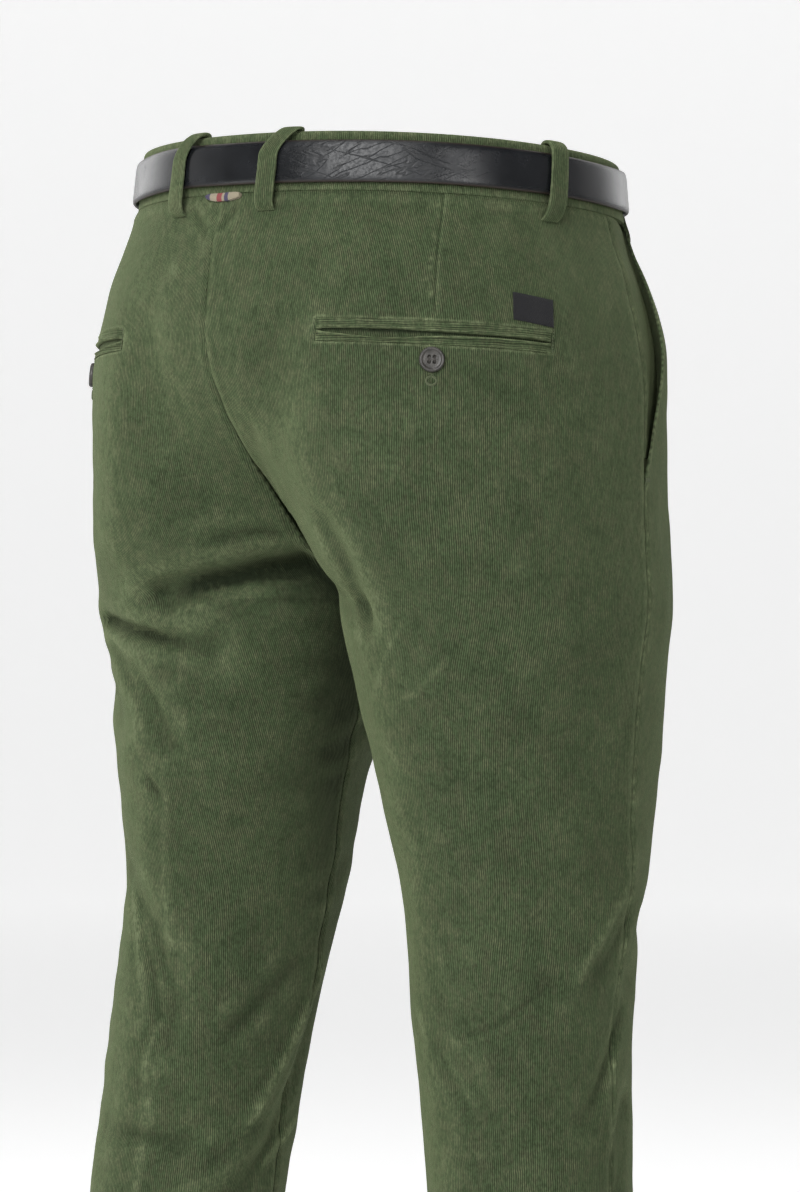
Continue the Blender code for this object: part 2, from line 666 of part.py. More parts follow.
def tube_points(route, radius, sides, closed):
    """Rings of points round a route; the first ring's direction is carried along it."""
    points = []
    count = len(route)
    for i, centre in enumerate(route):
        before = route[i - 1] if closed or i else route[i]
        after = route[(i + 1) % count] if closed or i < count - 1 else route[i]
        ahead = (after - before).normalized()
        aside = ahead.cross(Vector((0, 1, 0))).normalized()
        other = ahead.cross(aside)
        for k in range(sides):
            turn = 2 * np.pi * k / sides
            points.append(centre + (aside * np.cos(turn) + other * np.sin(turn)) * radius)
    return points


def front_y(out):
    """Where the cloth's outer face lies at centre front, at the belt's middle, and out from it."""
    return float(from_front(sum(BELT_HEIGHTS) / 2, 0.0, out)[1])


def make_buckle(material):
    middle = float(from_front(sum(BELT_HEIGHTS) / 2, 0.0)[2])
    left, right = BUCKLE_BARS
    route = []
    corners = [(left, -1), (left, 1), (right, 1), (right, -1)]
    for number, (x, way) in enumerate(corners):
        centre_x = x + BUCKLE_CORNER if x == left else x - BUCKLE_CORNER
        centre_z = way * (BUCKLE_HALF_HEIGHT - BUCKLE_CORNER)
        first = np.pi * 3 / 2 - np.pi / 2 * (number + 1) + np.pi / 2
        for step in range(4):
            turn = first - np.pi / 2 * step / 3
            across = centre_x + BUCKLE_CORNER * np.cos(turn)
            height = centre_z + BUCKLE_CORNER * np.sin(turn)
            share = (across - left) / (right - left)
            depth = BUCKLE_DEPTHS[0] + (BUCKLE_DEPTHS[1] - BUCKLE_DEPTHS[0]) * share
            route.append(Vector((across, front_y(depth), middle + height)))
    sides = 8
    points = tube_points(route, BAR_RADIUS, sides, closed=True)
    return build("belt_buckle", points, tube_faces(len(route), sides, closed=True), material)


def make_prong(material):
    """The prong, from the strap's hole over the outer bar."""
    middle = float(from_front(sum(BELT_HEIGHTS) / 2, 0.0)[2])
    over_bar = BUCKLE_DEPTHS[0] + BAR_RADIUS + GAP + PRONG_RADIUS
    at_hole = BELT_STANDS_OFF + BELT_WALL + LAP_LIFT + GAP * 2 + PRONG_RADIUS
    outer = BUCKLE_BARS[0]
    stations = [(0.004, at_hole), (-0.008, at_hole + 0.0004), (outer + 0.004, over_bar), (outer - 0.003, over_bar)]
    route = [Vector((x, front_y(depth), middle)) for x, depth in stations]
    sides = 8
    points = tube_points(route, PRONG_RADIUS, sides, closed=False)
    return build("belt_prong", points, tube_faces(len(route), sides, closed=False), material)


def make_keeper(material):
    """The leather loop that holds the tip, bent over both straps' edges."""
    top, bottom = BELT_HEIGHTS
    clear = GAP + KEEPER_WALL / 2
    face = BELT_STANDS_OFF + BELT_WALL + LAP_LIFT + clear
    path = [
        Step(0.0010, top + clear),
        Step(face - 0.0008, top + clear),
        Step(face, top - 0.0006),
        Step(face, bottom + 0.0006),
        Step(face - 0.0008, bottom - clear),
        Step(0.0010, bottom - clear),
    ]

    def place(z, across, out):
        return from_front(min(z, 0), KEEPER_ALONG - across, out)

    return strip_round("belt_keeper", path, KEEPER_WALL, KEEPER_WIDTH, place, material)


def front_strip(name, half_width, heights, depths, thickness, material):
    """A strip behind the closed front, at a depth for each of its columns."""
    columns = np.linspace(half_width, -half_width, len(depths))

    def layer(further):
        return [[from_front(z, along, -depth - further) for along, depth in zip(columns, depths)] for z in heights]

    return wall(name, layer(0), layer(thickness), material)


def build_part():
    for leftover in list(bpy.data.objects):
        bpy.data.objects.remove(leftover, do_unlink=True)
    green = finish_material("cord_green", (0.075, 0.100, 0.045), 0.9)
    facing = finish_material("cord_inside", (0.060, 0.080, 0.040), 0.95)
    leather = finish_material("belt_leather", (0.012, 0.012, 0.016), 0.42)
    metal = finish_material("buckle_metal", (0.42, 0.41, 0.40), 0.35, 1.0)
    brass = finish_material("slider_brass", (0.45, 0.33, 0.16), 0.4, 1.0)
    horn = finish_material("button_horn", (0.090, 0.075, 0.065), 0.4)
    black = finish_material("label_black", (0.012, 0.012, 0.013), 0.8)
    stripes = finish_material("ribbon_stripes", (0.45, 0.36, 0.22), 0.7)
    tape = finish_material("zip_tape_green", (0.050, 0.065, 0.035), 0.8)

    for side in SIDES:
        make_back(side, green)
        make_front(side, green)
        make_band(side, green)
        make_facing(side, facing)
        make_welt(side, "upper", 1, green)
        make_welt(side, "lower", -1, green)
        make_button(side, horn)
    for loop in LOOPS:
        make_loop(loop, green)
    make_label(black)
    make_ribbon(stripes)
    make_strap(leather)
    make_buckle(metal)
    make_prong(metal)
    make_keeper(leather)
    fly = np.linspace(-0.042, FLY_END, 8)
    tape_depths = [TAPE_EDGE, ZIP_DEPTH, ZIP_DEPTH, ZIP_DEPTH, TAPE_EDGE]
    front_strip("zip_tape", ZIP_HALF_WIDTH, fly, tape_depths, ZIP_WALL, tape)
    front_strip("fly_guard", GUARD_HALF_WIDTH, fly, [GUARD_DEPTH] * 5, CLOTH, facing)
    between = ZIP_DEPTH - GAP - SLIDER_WALL
    front_strip("zip_slider", SLIDER_HALF_WIDTH, SLIDER_HEIGHTS, [between] * 5, SLIDER_WALL, brass)


build_part()
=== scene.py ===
"""Looks of the worn needlecord trousers and their belt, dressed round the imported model.

Metres, +Z up, in the model's own frame: the origin is the centre of the waist opening, the front faces -Y
and the wearer's left is +X. The form's tables and functions are those of the solids, so each fine mesh lies
where its solid is. On top of them come finer creases, seams and ripples.
"""
from collections import namedtuple

import bpy
import numpy as np
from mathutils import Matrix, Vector


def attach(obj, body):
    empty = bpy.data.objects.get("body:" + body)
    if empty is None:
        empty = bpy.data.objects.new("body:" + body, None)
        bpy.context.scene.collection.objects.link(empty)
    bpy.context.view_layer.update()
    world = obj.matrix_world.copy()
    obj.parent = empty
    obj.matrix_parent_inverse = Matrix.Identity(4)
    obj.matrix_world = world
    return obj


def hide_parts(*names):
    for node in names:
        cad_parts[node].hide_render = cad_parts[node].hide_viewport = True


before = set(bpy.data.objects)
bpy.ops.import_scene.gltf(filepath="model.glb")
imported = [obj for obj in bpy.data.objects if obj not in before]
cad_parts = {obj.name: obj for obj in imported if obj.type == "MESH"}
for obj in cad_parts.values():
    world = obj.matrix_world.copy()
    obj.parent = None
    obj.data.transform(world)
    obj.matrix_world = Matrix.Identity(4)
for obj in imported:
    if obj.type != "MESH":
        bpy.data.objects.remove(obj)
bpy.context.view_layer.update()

# ---------------------------------------------------------------- driving sizes
CLOTH = 0.0015  # needlecord wall
GAP = 0.0003  # between pieces that touch
LENGTH = 1.000  # waist edge to hem
CROTCH = -0.270  # height of the crotch under the waist edge
WAIST_TILT = 0.067  # the waist edge rises this much per metre towards the back
TILT_ENDS = -0.230  # height where the sections are level again
BAND_HEIGHT = 0.0375
BAND_WALL = 0.003
HEM_HEIGHT = 0.028
TOP_SINKS = 0.0028  # the band's edge shows this much below the solid's top
PANEL_TOP = -(BAND_HEIGHT + GAP)
SIDES = {"left": 1, "right": -1}

# Half the torso, by height: how far it reaches out, back and forwards, and how square it is (2 is an oval)
Torso = namedtuple("Torso", "z side back front power")
TORSO = [
    Torso(z=0.000, side=0.153, back=0.132, front=0.127, power=2.15),
    Torso(z=-0.035, side=0.157, back=0.136, front=0.129, power=2.15),
    Torso(z=-0.080, side=0.170, back=0.145, front=0.134, power=2.35),
    Torso(z=-0.120, side=0.180, back=0.149, front=0.135, power=2.45),
    Torso(z=-0.170, side=0.186, back=0.148, front=0.135, power=2.40),
    Torso(z=-0.220, side=0.188, back=0.143, front=0.134, power=2.25),
    Torso(z=-0.270, side=0.190, back=0.138, front=0.130, power=2.20),
    Torso(z=-0.320, side=0.191, back=0.134, front=0.127, power=2.20),
]

# One leg, by height: its middle, and its half sizes out, in, back and forwards. Above the crotch it is the
# half of the torso round which the seat and the thigh are cut.
Leg = namedtuple("Leg", "z middle out inner back front")
LEG = [
    Leg(z=0.000, middle=0.080, out=0.080, inner=0.080, back=0.130, front=0.125),
    Leg(z=-0.120, middle=0.090, out=0.090, inner=0.090, back=0.148, front=0.130),
    Leg(z=-0.190, middle=0.095, out=0.095, inner=0.095, back=0.144, front=0.128),
    Leg(z=-0.235, middle=0.097, out=0.095, inner=0.097, back=0.126, front=0.120),
    Leg(z=-0.270, middle=0.098, out=0.095, inner=0.098, back=0.104, front=0.112),
    Leg(z=-0.310, middle=0.099, out=0.088, inner=0.090, back=0.098, front=0.102),
    Leg(z=-0.380, middle=0.100, out=0.074, inner=0.074, back=0.089, front=0.087),
    Leg(z=-0.450, middle=0.100, out=0.067, inner=0.067, back=0.075, front=0.075),
    Leg(z=-0.520, middle=0.100, out=0.064, inner=0.064, back=0.067, front=0.067),
    Leg(z=-0.600, middle=0.100, out=0.062, inner=0.062, back=0.062, front=0.063),
    Leg(z=-0.720, middle=0.100, out=0.061, inner=0.061, back=0.063, front=0.061),
    Leg(z=-1.000, middle=0.100, out=0.058, inner=0.058, back=0.061, front=0.061),
]

# How the wearer's stance moves each leg from there: out, back and toes turned out, in metres and degrees
Stance = namedtuple("Stance", "z out back toes")
STANCE = {
    "left": [
        Stance(z=-0.180, out=0.000, back=0.000, toes=0),
        Stance(z=-0.270, out=0.000, back=0.008, toes=0),
        Stance(z=-0.380, out=0.005, back=0.017, toes=15),
        Stance(z=-0.450, out=0.010, back=0.019, toes=17),
        Stance(z=-0.520, out=0.021, back=0.026, toes=18),
        Stance(z=-0.634, out=0.035, back=0.036, toes=18),
        Stance(z=-1.000, out=0.055, back=0.056, toes=18),
    ],
    "right": [
        Stance(z=-0.180, out=0.000, back=0.000, toes=0),
        Stance(z=-0.270, out=0.000, back=-0.004, toes=0),
        Stance(z=-0.380, out=0.002, back=-0.015, toes=15),
        Stance(z=-0.450, out=0.006, back=-0.015, toes=17),
        Stance(z=-0.520, out=0.008, back=-0.011, toes=18),
        Stance(z=-0.634, out=0.012, back=-0.014, toes=18),
        Stance(z=-1.000, out=0.018, back=-0.002, toes=18),
    ],
}

# The side seam's place round the leg, in degrees from straight out, forwards negative
Seam = namedtuple("Seam", "z turn")
SIDE_SEAM = [
    Seam(z=0.000, turn=-22),
    Seam(z=-0.090, turn=-19),
    Seam(z=-0.200, turn=-17),
    Seam(z=-0.300, turn=-17),
    Seam(z=-0.380, turn=-26),
    Seam(z=-0.450, turn=-31),
    Seam(z=-0.520, turn=-30),
    Seam(z=-0.600, turn=-26),
    Seam(z=-1.000, turn=-24),
]

# The rise seam between the halves: its reach from the wearer's middle, down to where it curves in under
Rise = namedtuple("Rise", "reach start power")
BACK_RISE = Rise(reach=0.148, start=-0.110, power=1.4)
FRONT_RISE = Rise(reach=0.132, start=-0.150, power=2.2)
Parting = namedtuple("Parting", "start end")
INNER_PARTING = Parting(start=-0.060, end=-0.215)  # heights where the round torso turns into two legs,
OUTER_PARTING = Parting(start=-0.170, end=-0.300)  # beside the rise seam and out at the side
VALLEY = 3  # how sharply the seat turns in to the rise seam
EVEN = 0.244  # spreads the torso's points round it, so that they lie beside the leg's

# The largest folds: each runs through three places on a side, given as height and turn round the leg in
# degrees (180 at the inseam and the rise seam, 90 at the back, 0 at the side, -90 in front). Depth is
# inwards, so a ridge has a negative one.
Fold = namedtuple("Fold", "side start middle end width depth")
FOLDS = [
    # under the left seat
    Fold("left", (-0.251, 162), (-0.258, 128), (-0.270, 102), width=0.012, depth=0.010),
    Fold("left", (-0.276, 38), (-0.276, 84), (-0.283, 112), width=0.012, depth=-0.003),
    Fold("left", (-0.281, 60), (-0.288, 84), (-0.297, 116), width=0.009, depth=0.005),
    Fold("left", (-0.316, 26), (-0.322, 44), (-0.340, 56), width=0.016, depth=0.004),
    Fold("left", (-0.300, 64), (-0.325, 82), (-0.356, 91), width=0.009, depth=0.004),
    # behind the left knee
    Fold("left", (-0.440, 46), (-0.485, 80), (-0.536, 92), width=0.012, depth=0.004),
    Fold("left", (-0.500, 185), (-0.581, 156), (-0.640, 116), width=0.012, depth=-0.004),
    Fold("left", (-0.525, 196), (-0.600, 172), (-0.640, 150), width=0.010, depth=0.004),
    Fold("left", (-0.596, 50), (-0.601, 82), (-0.604, 108), width=0.012, depth=0.003),
    # under the right seat
    Fold("right", (-0.228, 104), (-0.252, 101), (-0.275, 104), width=0.010, depth=0.004),
    Fold("right", (-0.250, 156), (-0.268, 128), (-0.280, 104), width=0.012, depth=0.005),
    Fold("right", (-0.300, 95), (-0.281, 62), (-0.265, 23), width=0.015, depth=0.001),
    # behind the right knee
    Fold("right", (-0.426, -29), (-0.465, -12), (-0.504, 2), width=0.012, depth=-0.0015),
    Fold("right", (-0.514, 72), (-0.521, 43), (-0.498, 19), width=0.012, depth=0.002),
    Fold("right", (-0.536, 76), (-0.554, 64), (-0.576, 50), width=0.011, depth=0.002),
    Fold("right", (-0.500, -43), (-0.548, -20), (-0.576, -5), width=0.012, depth=0.003),
    Fold("right", (-0.573, -44), (-0.600, -34), (-0.632, -24), width=0.010, depth=0.004),
    # across the front of the hips and the knees
    Fold("left", (-0.246, -152), (-0.226, -112), (-0.208, -66), width=0.014, depth=0.005),
    Fold("right", (-0.240, -150), (-0.224, -116), (-0.212, -74), width=0.013, depth=0.005),
    Fold("left", (-0.272, -154), (-0.281, -118), (-0.272, -70), width=0.012, depth=0.004),
    Fold("right", (-0.276, -158), (-0.290, -124), (-0.286, -84), width=0.012, depth=0.004),
    Fold("left", (-0.470, -56), (-0.482, -92), (-0.466, -130), width=0.014, depth=0.004),
    Fold("right", (-0.462, -60), (-0.476, -96), (-0.468, -138), width=0.014, depth=0.004),
    # down the shins and calves, where the cloth settles
    Fold("left", (-0.700, 134), (-0.726, 96), (-0.706, 50), width=0.017, depth=0.004),
    Fold("right", (-0.716, 130), (-0.738, 90), (-0.724, 46), width=0.018, depth=0.004),
    Fold("left", (-0.800, -50), (-0.824, -88), (-0.812, -136), width=0.018, depth=0.004),
    Fold("right", (-0.786, -44), (-0.806, -90), (-0.800, -130), width=0.017, depth=0.004),
    Fold("left", (-0.902, 140), (-0.918, 92), (-0.896, 40), width=0.016, depth=0.004),
    Fold("right", (-0.894, 132), (-0.914, 88), (-0.900, 44), width=0.016, depth=0.004),
    Fold("left", (-0.930, -48), (-0.950, -92), (-0.932, -134), width=0.015, depth=0.005),
    Fold("right", (-0.936, -52), (-0.954, -94), (-0.940, -140), width=0.015, depth=0.005),
]
# Arc length round the cloth for a full turn at a height, over two pi: it gives folds their real width
Round = namedtuple("Round", "z radius")
ROUND = [
    Round(z=0.000, radius=0.073),
    Round(z=-0.150, radius=0.086),
    Round(z=-0.270, radius=0.097),
    Round(z=-0.380, radius=0.081),
    Round(z=-0.520, radius=0.066),
    Round(z=-1.000, radius=0.060),
]

# Slanted mouth of the side pockets: from under the waistband down to the side seam
MOUTH_FORWARD = 0.045  # how far in front of the side seam it starts
MOUTH_END = -0.205
MOUTH_GAPE = 0.005  # how far the front's edge stands away half way down
GAPE_FADES = 0.040  # over this much of the front
FACING_UNDER = 0.014  # the facing goes on this far behind the front's edge
FACING_END = -0.188
FACING_DROP = 0.0031  # how far it lies inside the front's outer face

# Double-welt back pockets, from their inner to their outer end, along the cloth from centre back
POCKET_INNER = 0.085
POCKET_OUTER = 0.232
POCKET_HEIGHTS = (-0.117, -0.121)
WELT_HEIGHT = 0.0055
SLIT = 0.0016
BUTTON_ALONG = 0.157
BUTTON_HEIGHT = -0.134
BUTTON_RADIUS = 0.0075
BUTTON_WALL = 0.0032
BUTTON_HOLES = 0.21  # from its middle, each way, in radii
BUTTON_SINKS = 0.0004  # the panel's flat facets lie about this far inside the form

LABEL_ALONG = (0.202, 0.230)
LABEL_HEIGHTS = (-0.0935, -0.1095)
LABEL_DROOP = 0.0030  # its outer end lies this much lower
LABEL_TILT = 0.15  # how far its lower edge is shifted outwards, for each unit down
LABEL_WALL = 0.0008
RIBBON_ALONG = (-0.019, 0.009)  # from centre back, towards the wearer's left
RIBBON_MIDDLE = -0.0392
RIBBON_HEIGHT = 0.0048
RIBBON_SAGS = 0.0008  # its middle lies this much lower than its ends
RIBBON_STANDS_OFF = 0.0012
RIBBON_WALL = 0.0012

# Belt, wrapped clockwise seen from above: its tip lies over its buckle end, left of centre front
BELT_HEIGHTS = (-0.0050, -0.0300)
BELT_MIDDLE = sum(BELT_HEIGHTS) / 2
BELT_SAGS = 0.0036  # the strap lies this much lower at the sides and the back than at its buckle
SAG_STARTS = 0.09  # this far from the buckle, and full 0.10 further on
WRINKLED_AT = 0.100  # the strap's wrinkled stretch, right of centre back
WRINKLED_WIDTH = 0.040
BELT_WALL = 0.0035
BELT_STANDS_OFF = 0.0008
BELT_LAP = 0.078  # tip, left of the buckle's middle
BELT_FOLD = 0.0145  # where the buckle end stops at the bar
LAP_LIFT = BELT_WALL + 0.0015  # the tip lies this much further out
LIFT_STARTS = 0.030  # right of centre front
LIFT_ENDS = 0.009  # left of centre front
BAR_RADIUS = 0.0020
BUCKLE_HALF_HEIGHT = 0.0153
BUCKLE_BARS = (-0.0245, 0.0115)  # outer bar and heel bar, along X
BUCKLE_DEPTHS = (0.0067, 0.0027)  # how far each bar's middle stands off the cloth at centre front
BUCKLE_CORNER = 0.005
PRONG_RADIUS = 0.0015
KEEPER_ALONG = 0.036
KEEPER_WIDTH = 0.009
KEEPER_WALL = 0.0012

# Belt loops: where each stands along the waistband from centre back, and how far its top slants towards the
# wearer's left
Loop = namedtuple("Loop", "side name along slant")
LOOPS = [
    Loop("left", "back", along=0.034, slant=-0.012),
    Loop("right", "back", along=0.040, slant=-0.013),
    Loop("left", "side", along=0.221, slant=0.003),
    Loop("right", "side", along=0.219, slant=0.001),
    Loop("left", "front", along=0.363, slant=0.004),
    Loop("right", "front", along=0.363, slant=-0.003),
]
LOOP_WIDTH = 0.0130
LOOP_WALL = 0.0020
Step = namedtuple("Step", "out z")
# A loop from inside the waistband over its top edge, with heights from that edge
LOOP_TOP = [
    Step(-0.0044, -0.0100),
    Step(-0.0044, -0.0015),
    Step(-0.0040, 0.0008),
    Step(-0.0022, 0.0019),
    Step(0.0006, 0.0018),
    Step(0.0032, 0.0002),
    Step(0.0053, -0.0028),
    Step(0.0058, -0.0060),
    Step(0.0059, -0.0175),
]
# Then round the belt, and in on the panel, with heights from the waist edge
LOOP_TAIL = [
    Step(0.0061, -0.0300),
    Step(0.0062, -0.0380),
    Step(0.0054, -0.0435),
    Step(0.0034, -0.0472),
    Step(0.0008, -0.0486),
]

# Behind the closed fly
FLY_END = -0.190
ZIP_HALF_WIDTH = 0.014
ZIP_DEPTH = 0.0038
ZIP_WALL = 0.0010
TAPE_EDGE = CLOTH + 0.0009  # its edges are sewn to the fronts, whose facets lie inside the form
GUARD_HALF_WIDTH = 0.020
GUARD_DEPTH = ZIP_DEPTH + ZIP_WALL + GAP
SLIDER_HEIGHTS = (-0.052, -0.062)
SLIDER_HALF_WIDTH = 0.004
SLIDER_WALL = 0.0014
TAPE_TOP = -0.042
TOOTH_PITCH = 0.0011

# ---------------------------------------------------------------- the form
def curve(rows, column, z):
    """A column of a table at height z, on a smooth curve through the table's rows."""
    heights = np.array([row.z for row in rows])[::-1]
    values = np.array([getattr(row, column) for row in rows], float)[::-1]
    slopes = np.gradient(values, heights)
    low = np.clip(np.searchsorted(heights, z) - 1, 0, len(heights) - 2)
    step = heights[low + 1] - heights[low]
    t = np.clip((z - heights[low]) / step, 0, 1)
    rise = t * t * (3 - 2 * t)
    bend = t * (1 - t) * step * ((1 - t) * slopes[low] - t * slopes[low + 1])
    return values[low] * (1 - rise) + values[low + 1] * rise + bend


def soft_step(t):
    t = np.clip(t, 0, 1)
    return t * t * (3 - 2 * t)


def reach(rise, z):
    """How far the rise seam lies from the wearer's middle at height z, 0 from the crotch down."""
    t = np.clip((rise.start - z) / (rise.start - CROTCH), 0, 1)
    return rise.reach * (1 - t**rise.power) ** (1 / rise.power)


def parted(parting, z):
    return soft_step((parting.start - z) / (parting.start - parting.end))


def angle(u, z):
    """The angle round the leg: pi at u = 0 (centre back, inseam), the side seam at 0.5, -pi at u = 1."""
    seam = np.radians(curve(SIDE_SEAM, "turn", z))
    behind = np.pi + (seam - np.pi) * u / 0.5
    ahead = seam - (np.pi + seam) * (u - 0.5) / 0.5
    return np.where(u < 0.5, behind, ahead)


def section(name, u, z):
    """Points of the smooth form, with +X out from the wearer's middle on either side."""
    phi = angle(u, z)
    theta = phi / 2 + EVEN * np.sin(phi)
    bend = 2 / curve(TORSO, "power", z)
    deep = np.where(theta > 0, curve(TORSO, "back", z), curve(TORSO, "front", z))
    torso_x = curve(TORSO, "side", z) * np.abs(np.cos(theta)) ** bend
    torso_y = deep * np.sign(np.sin(theta)) * np.abs(np.sin(theta)) ** bend

    wide = np.where(np.cos(phi) > 0, curve(LEG, "out", z), curve(LEG, "inner", z))
    deep = np.where(phi > 0, curve(LEG, "back", z), curve(LEG, "front", z))
    seam = np.where(phi > 0, reach(BACK_RISE, z), reach(FRONT_RISE, z)) * soft_step(-np.cos(phi))
    across, along = wide * np.cos(phi), np.abs(deep * np.sin(phi))
    along = np.sign(phi) * (along**VALLEY + seam**VALLEY) ** (1 / VALLEY)
    toes = np.radians(curve(STANCE[name], "toes", z))
    leg_x = curve(LEG, "middle", z) + curve(STANCE[name], "out", z)
    leg_x = leg_x + across * np.cos(toes) - along * np.sin(toes)
    leg_y = curve(STANCE[name], "back", z) + across * np.sin(toes) + along * np.cos(toes)

    inward = soft_step(0.5 - 0.5 * np.cos(phi))
    share = inward * parted(INNER_PARTING, z) + (1 - inward) * parted(OUTER_PARTING, z)
    x = torso_x + (leg_x - torso_x) * share
    y = torso_y + (leg_y - torso_y) * share
    tilt = WAIST_TILT * (1 - soft_step(z / TILT_ENDS))
    return np.stack([x, y, z + tilt * y], -1)


ROUTE_STEPS = 25


def route_of(row):
    """Heights and turns of the places on a fold's or a crease's curve."""
    start, middle, end = (np.array(place, float) for place in (row.start, row.middle, row.end))
    pull = 2 * middle - (start + end) / 2
    t = np.linspace(0, 1, ROUTE_STEPS)[:, None]
    return start * (1 - t) ** 2 + pull * 2 * t * (1 - t) + end * t**2


def relief(name, phi, z):
    """How far the folds lift the cloth off the smooth form."""
    radius = curve(ROUND, "radius", z)
    lift = np.zeros(np.shape(phi))
    for fold in FOLDS:
        if fold.side != name:
            continue
        nearest = np.full(np.shape(phi), np.inf)
        for height, turn in route_of(fold):
            aside = (phi - np.radians(turn) + np.pi) % (2 * np.pi) - np.pi
            nearest = np.minimum(nearest, (aside * radius) ** 2 + (z - height) ** 2)
        lift -= fold.depth * np.exp(-nearest / fold.width**2)
    return lift


ROW_LENGTHS = {}


def row_lengths(name, z):
    """Places u along the row at height z, and the cloth's length from u = 0 to each."""
    key = (name, round(float(z), 6))
    if key not in ROW_LENGTHS:
        u = np.linspace(0, 1, 801)
        points = section(name, u, float(z))
        steps = np.linalg.norm(np.diff(points, axis=0), axis=1)
        ROW_LENGTHS[key] = u, np.concatenate([[0], np.cumsum(steps)])
    return ROW_LENGTHS[key]


def moved(name, u, z, distance):
    """The place u after going a distance towards the front along the row at height z."""
    places, lengths = row_lengths(name, z)
    return float(np.interp(np.interp(u, places, lengths) + distance, lengths, places))

# ---------------------------------------------------------------- finer creases and surfaces
WALE = 0.00130  # from one rib of the cloth to the next
FINE_ENDS = -0.650  # height where the fine rows grow wider
Rows = namedtuple("Rows", "upper lower back front")
DIVISIONS = Rows(upper=236, lower=60, back=118, front=92)
SADDLE_ROWS = (0.0055, 0.0035, 0.0020, 0.0010, 0.0003, 0.0)  # above the crotch, where the halves meet

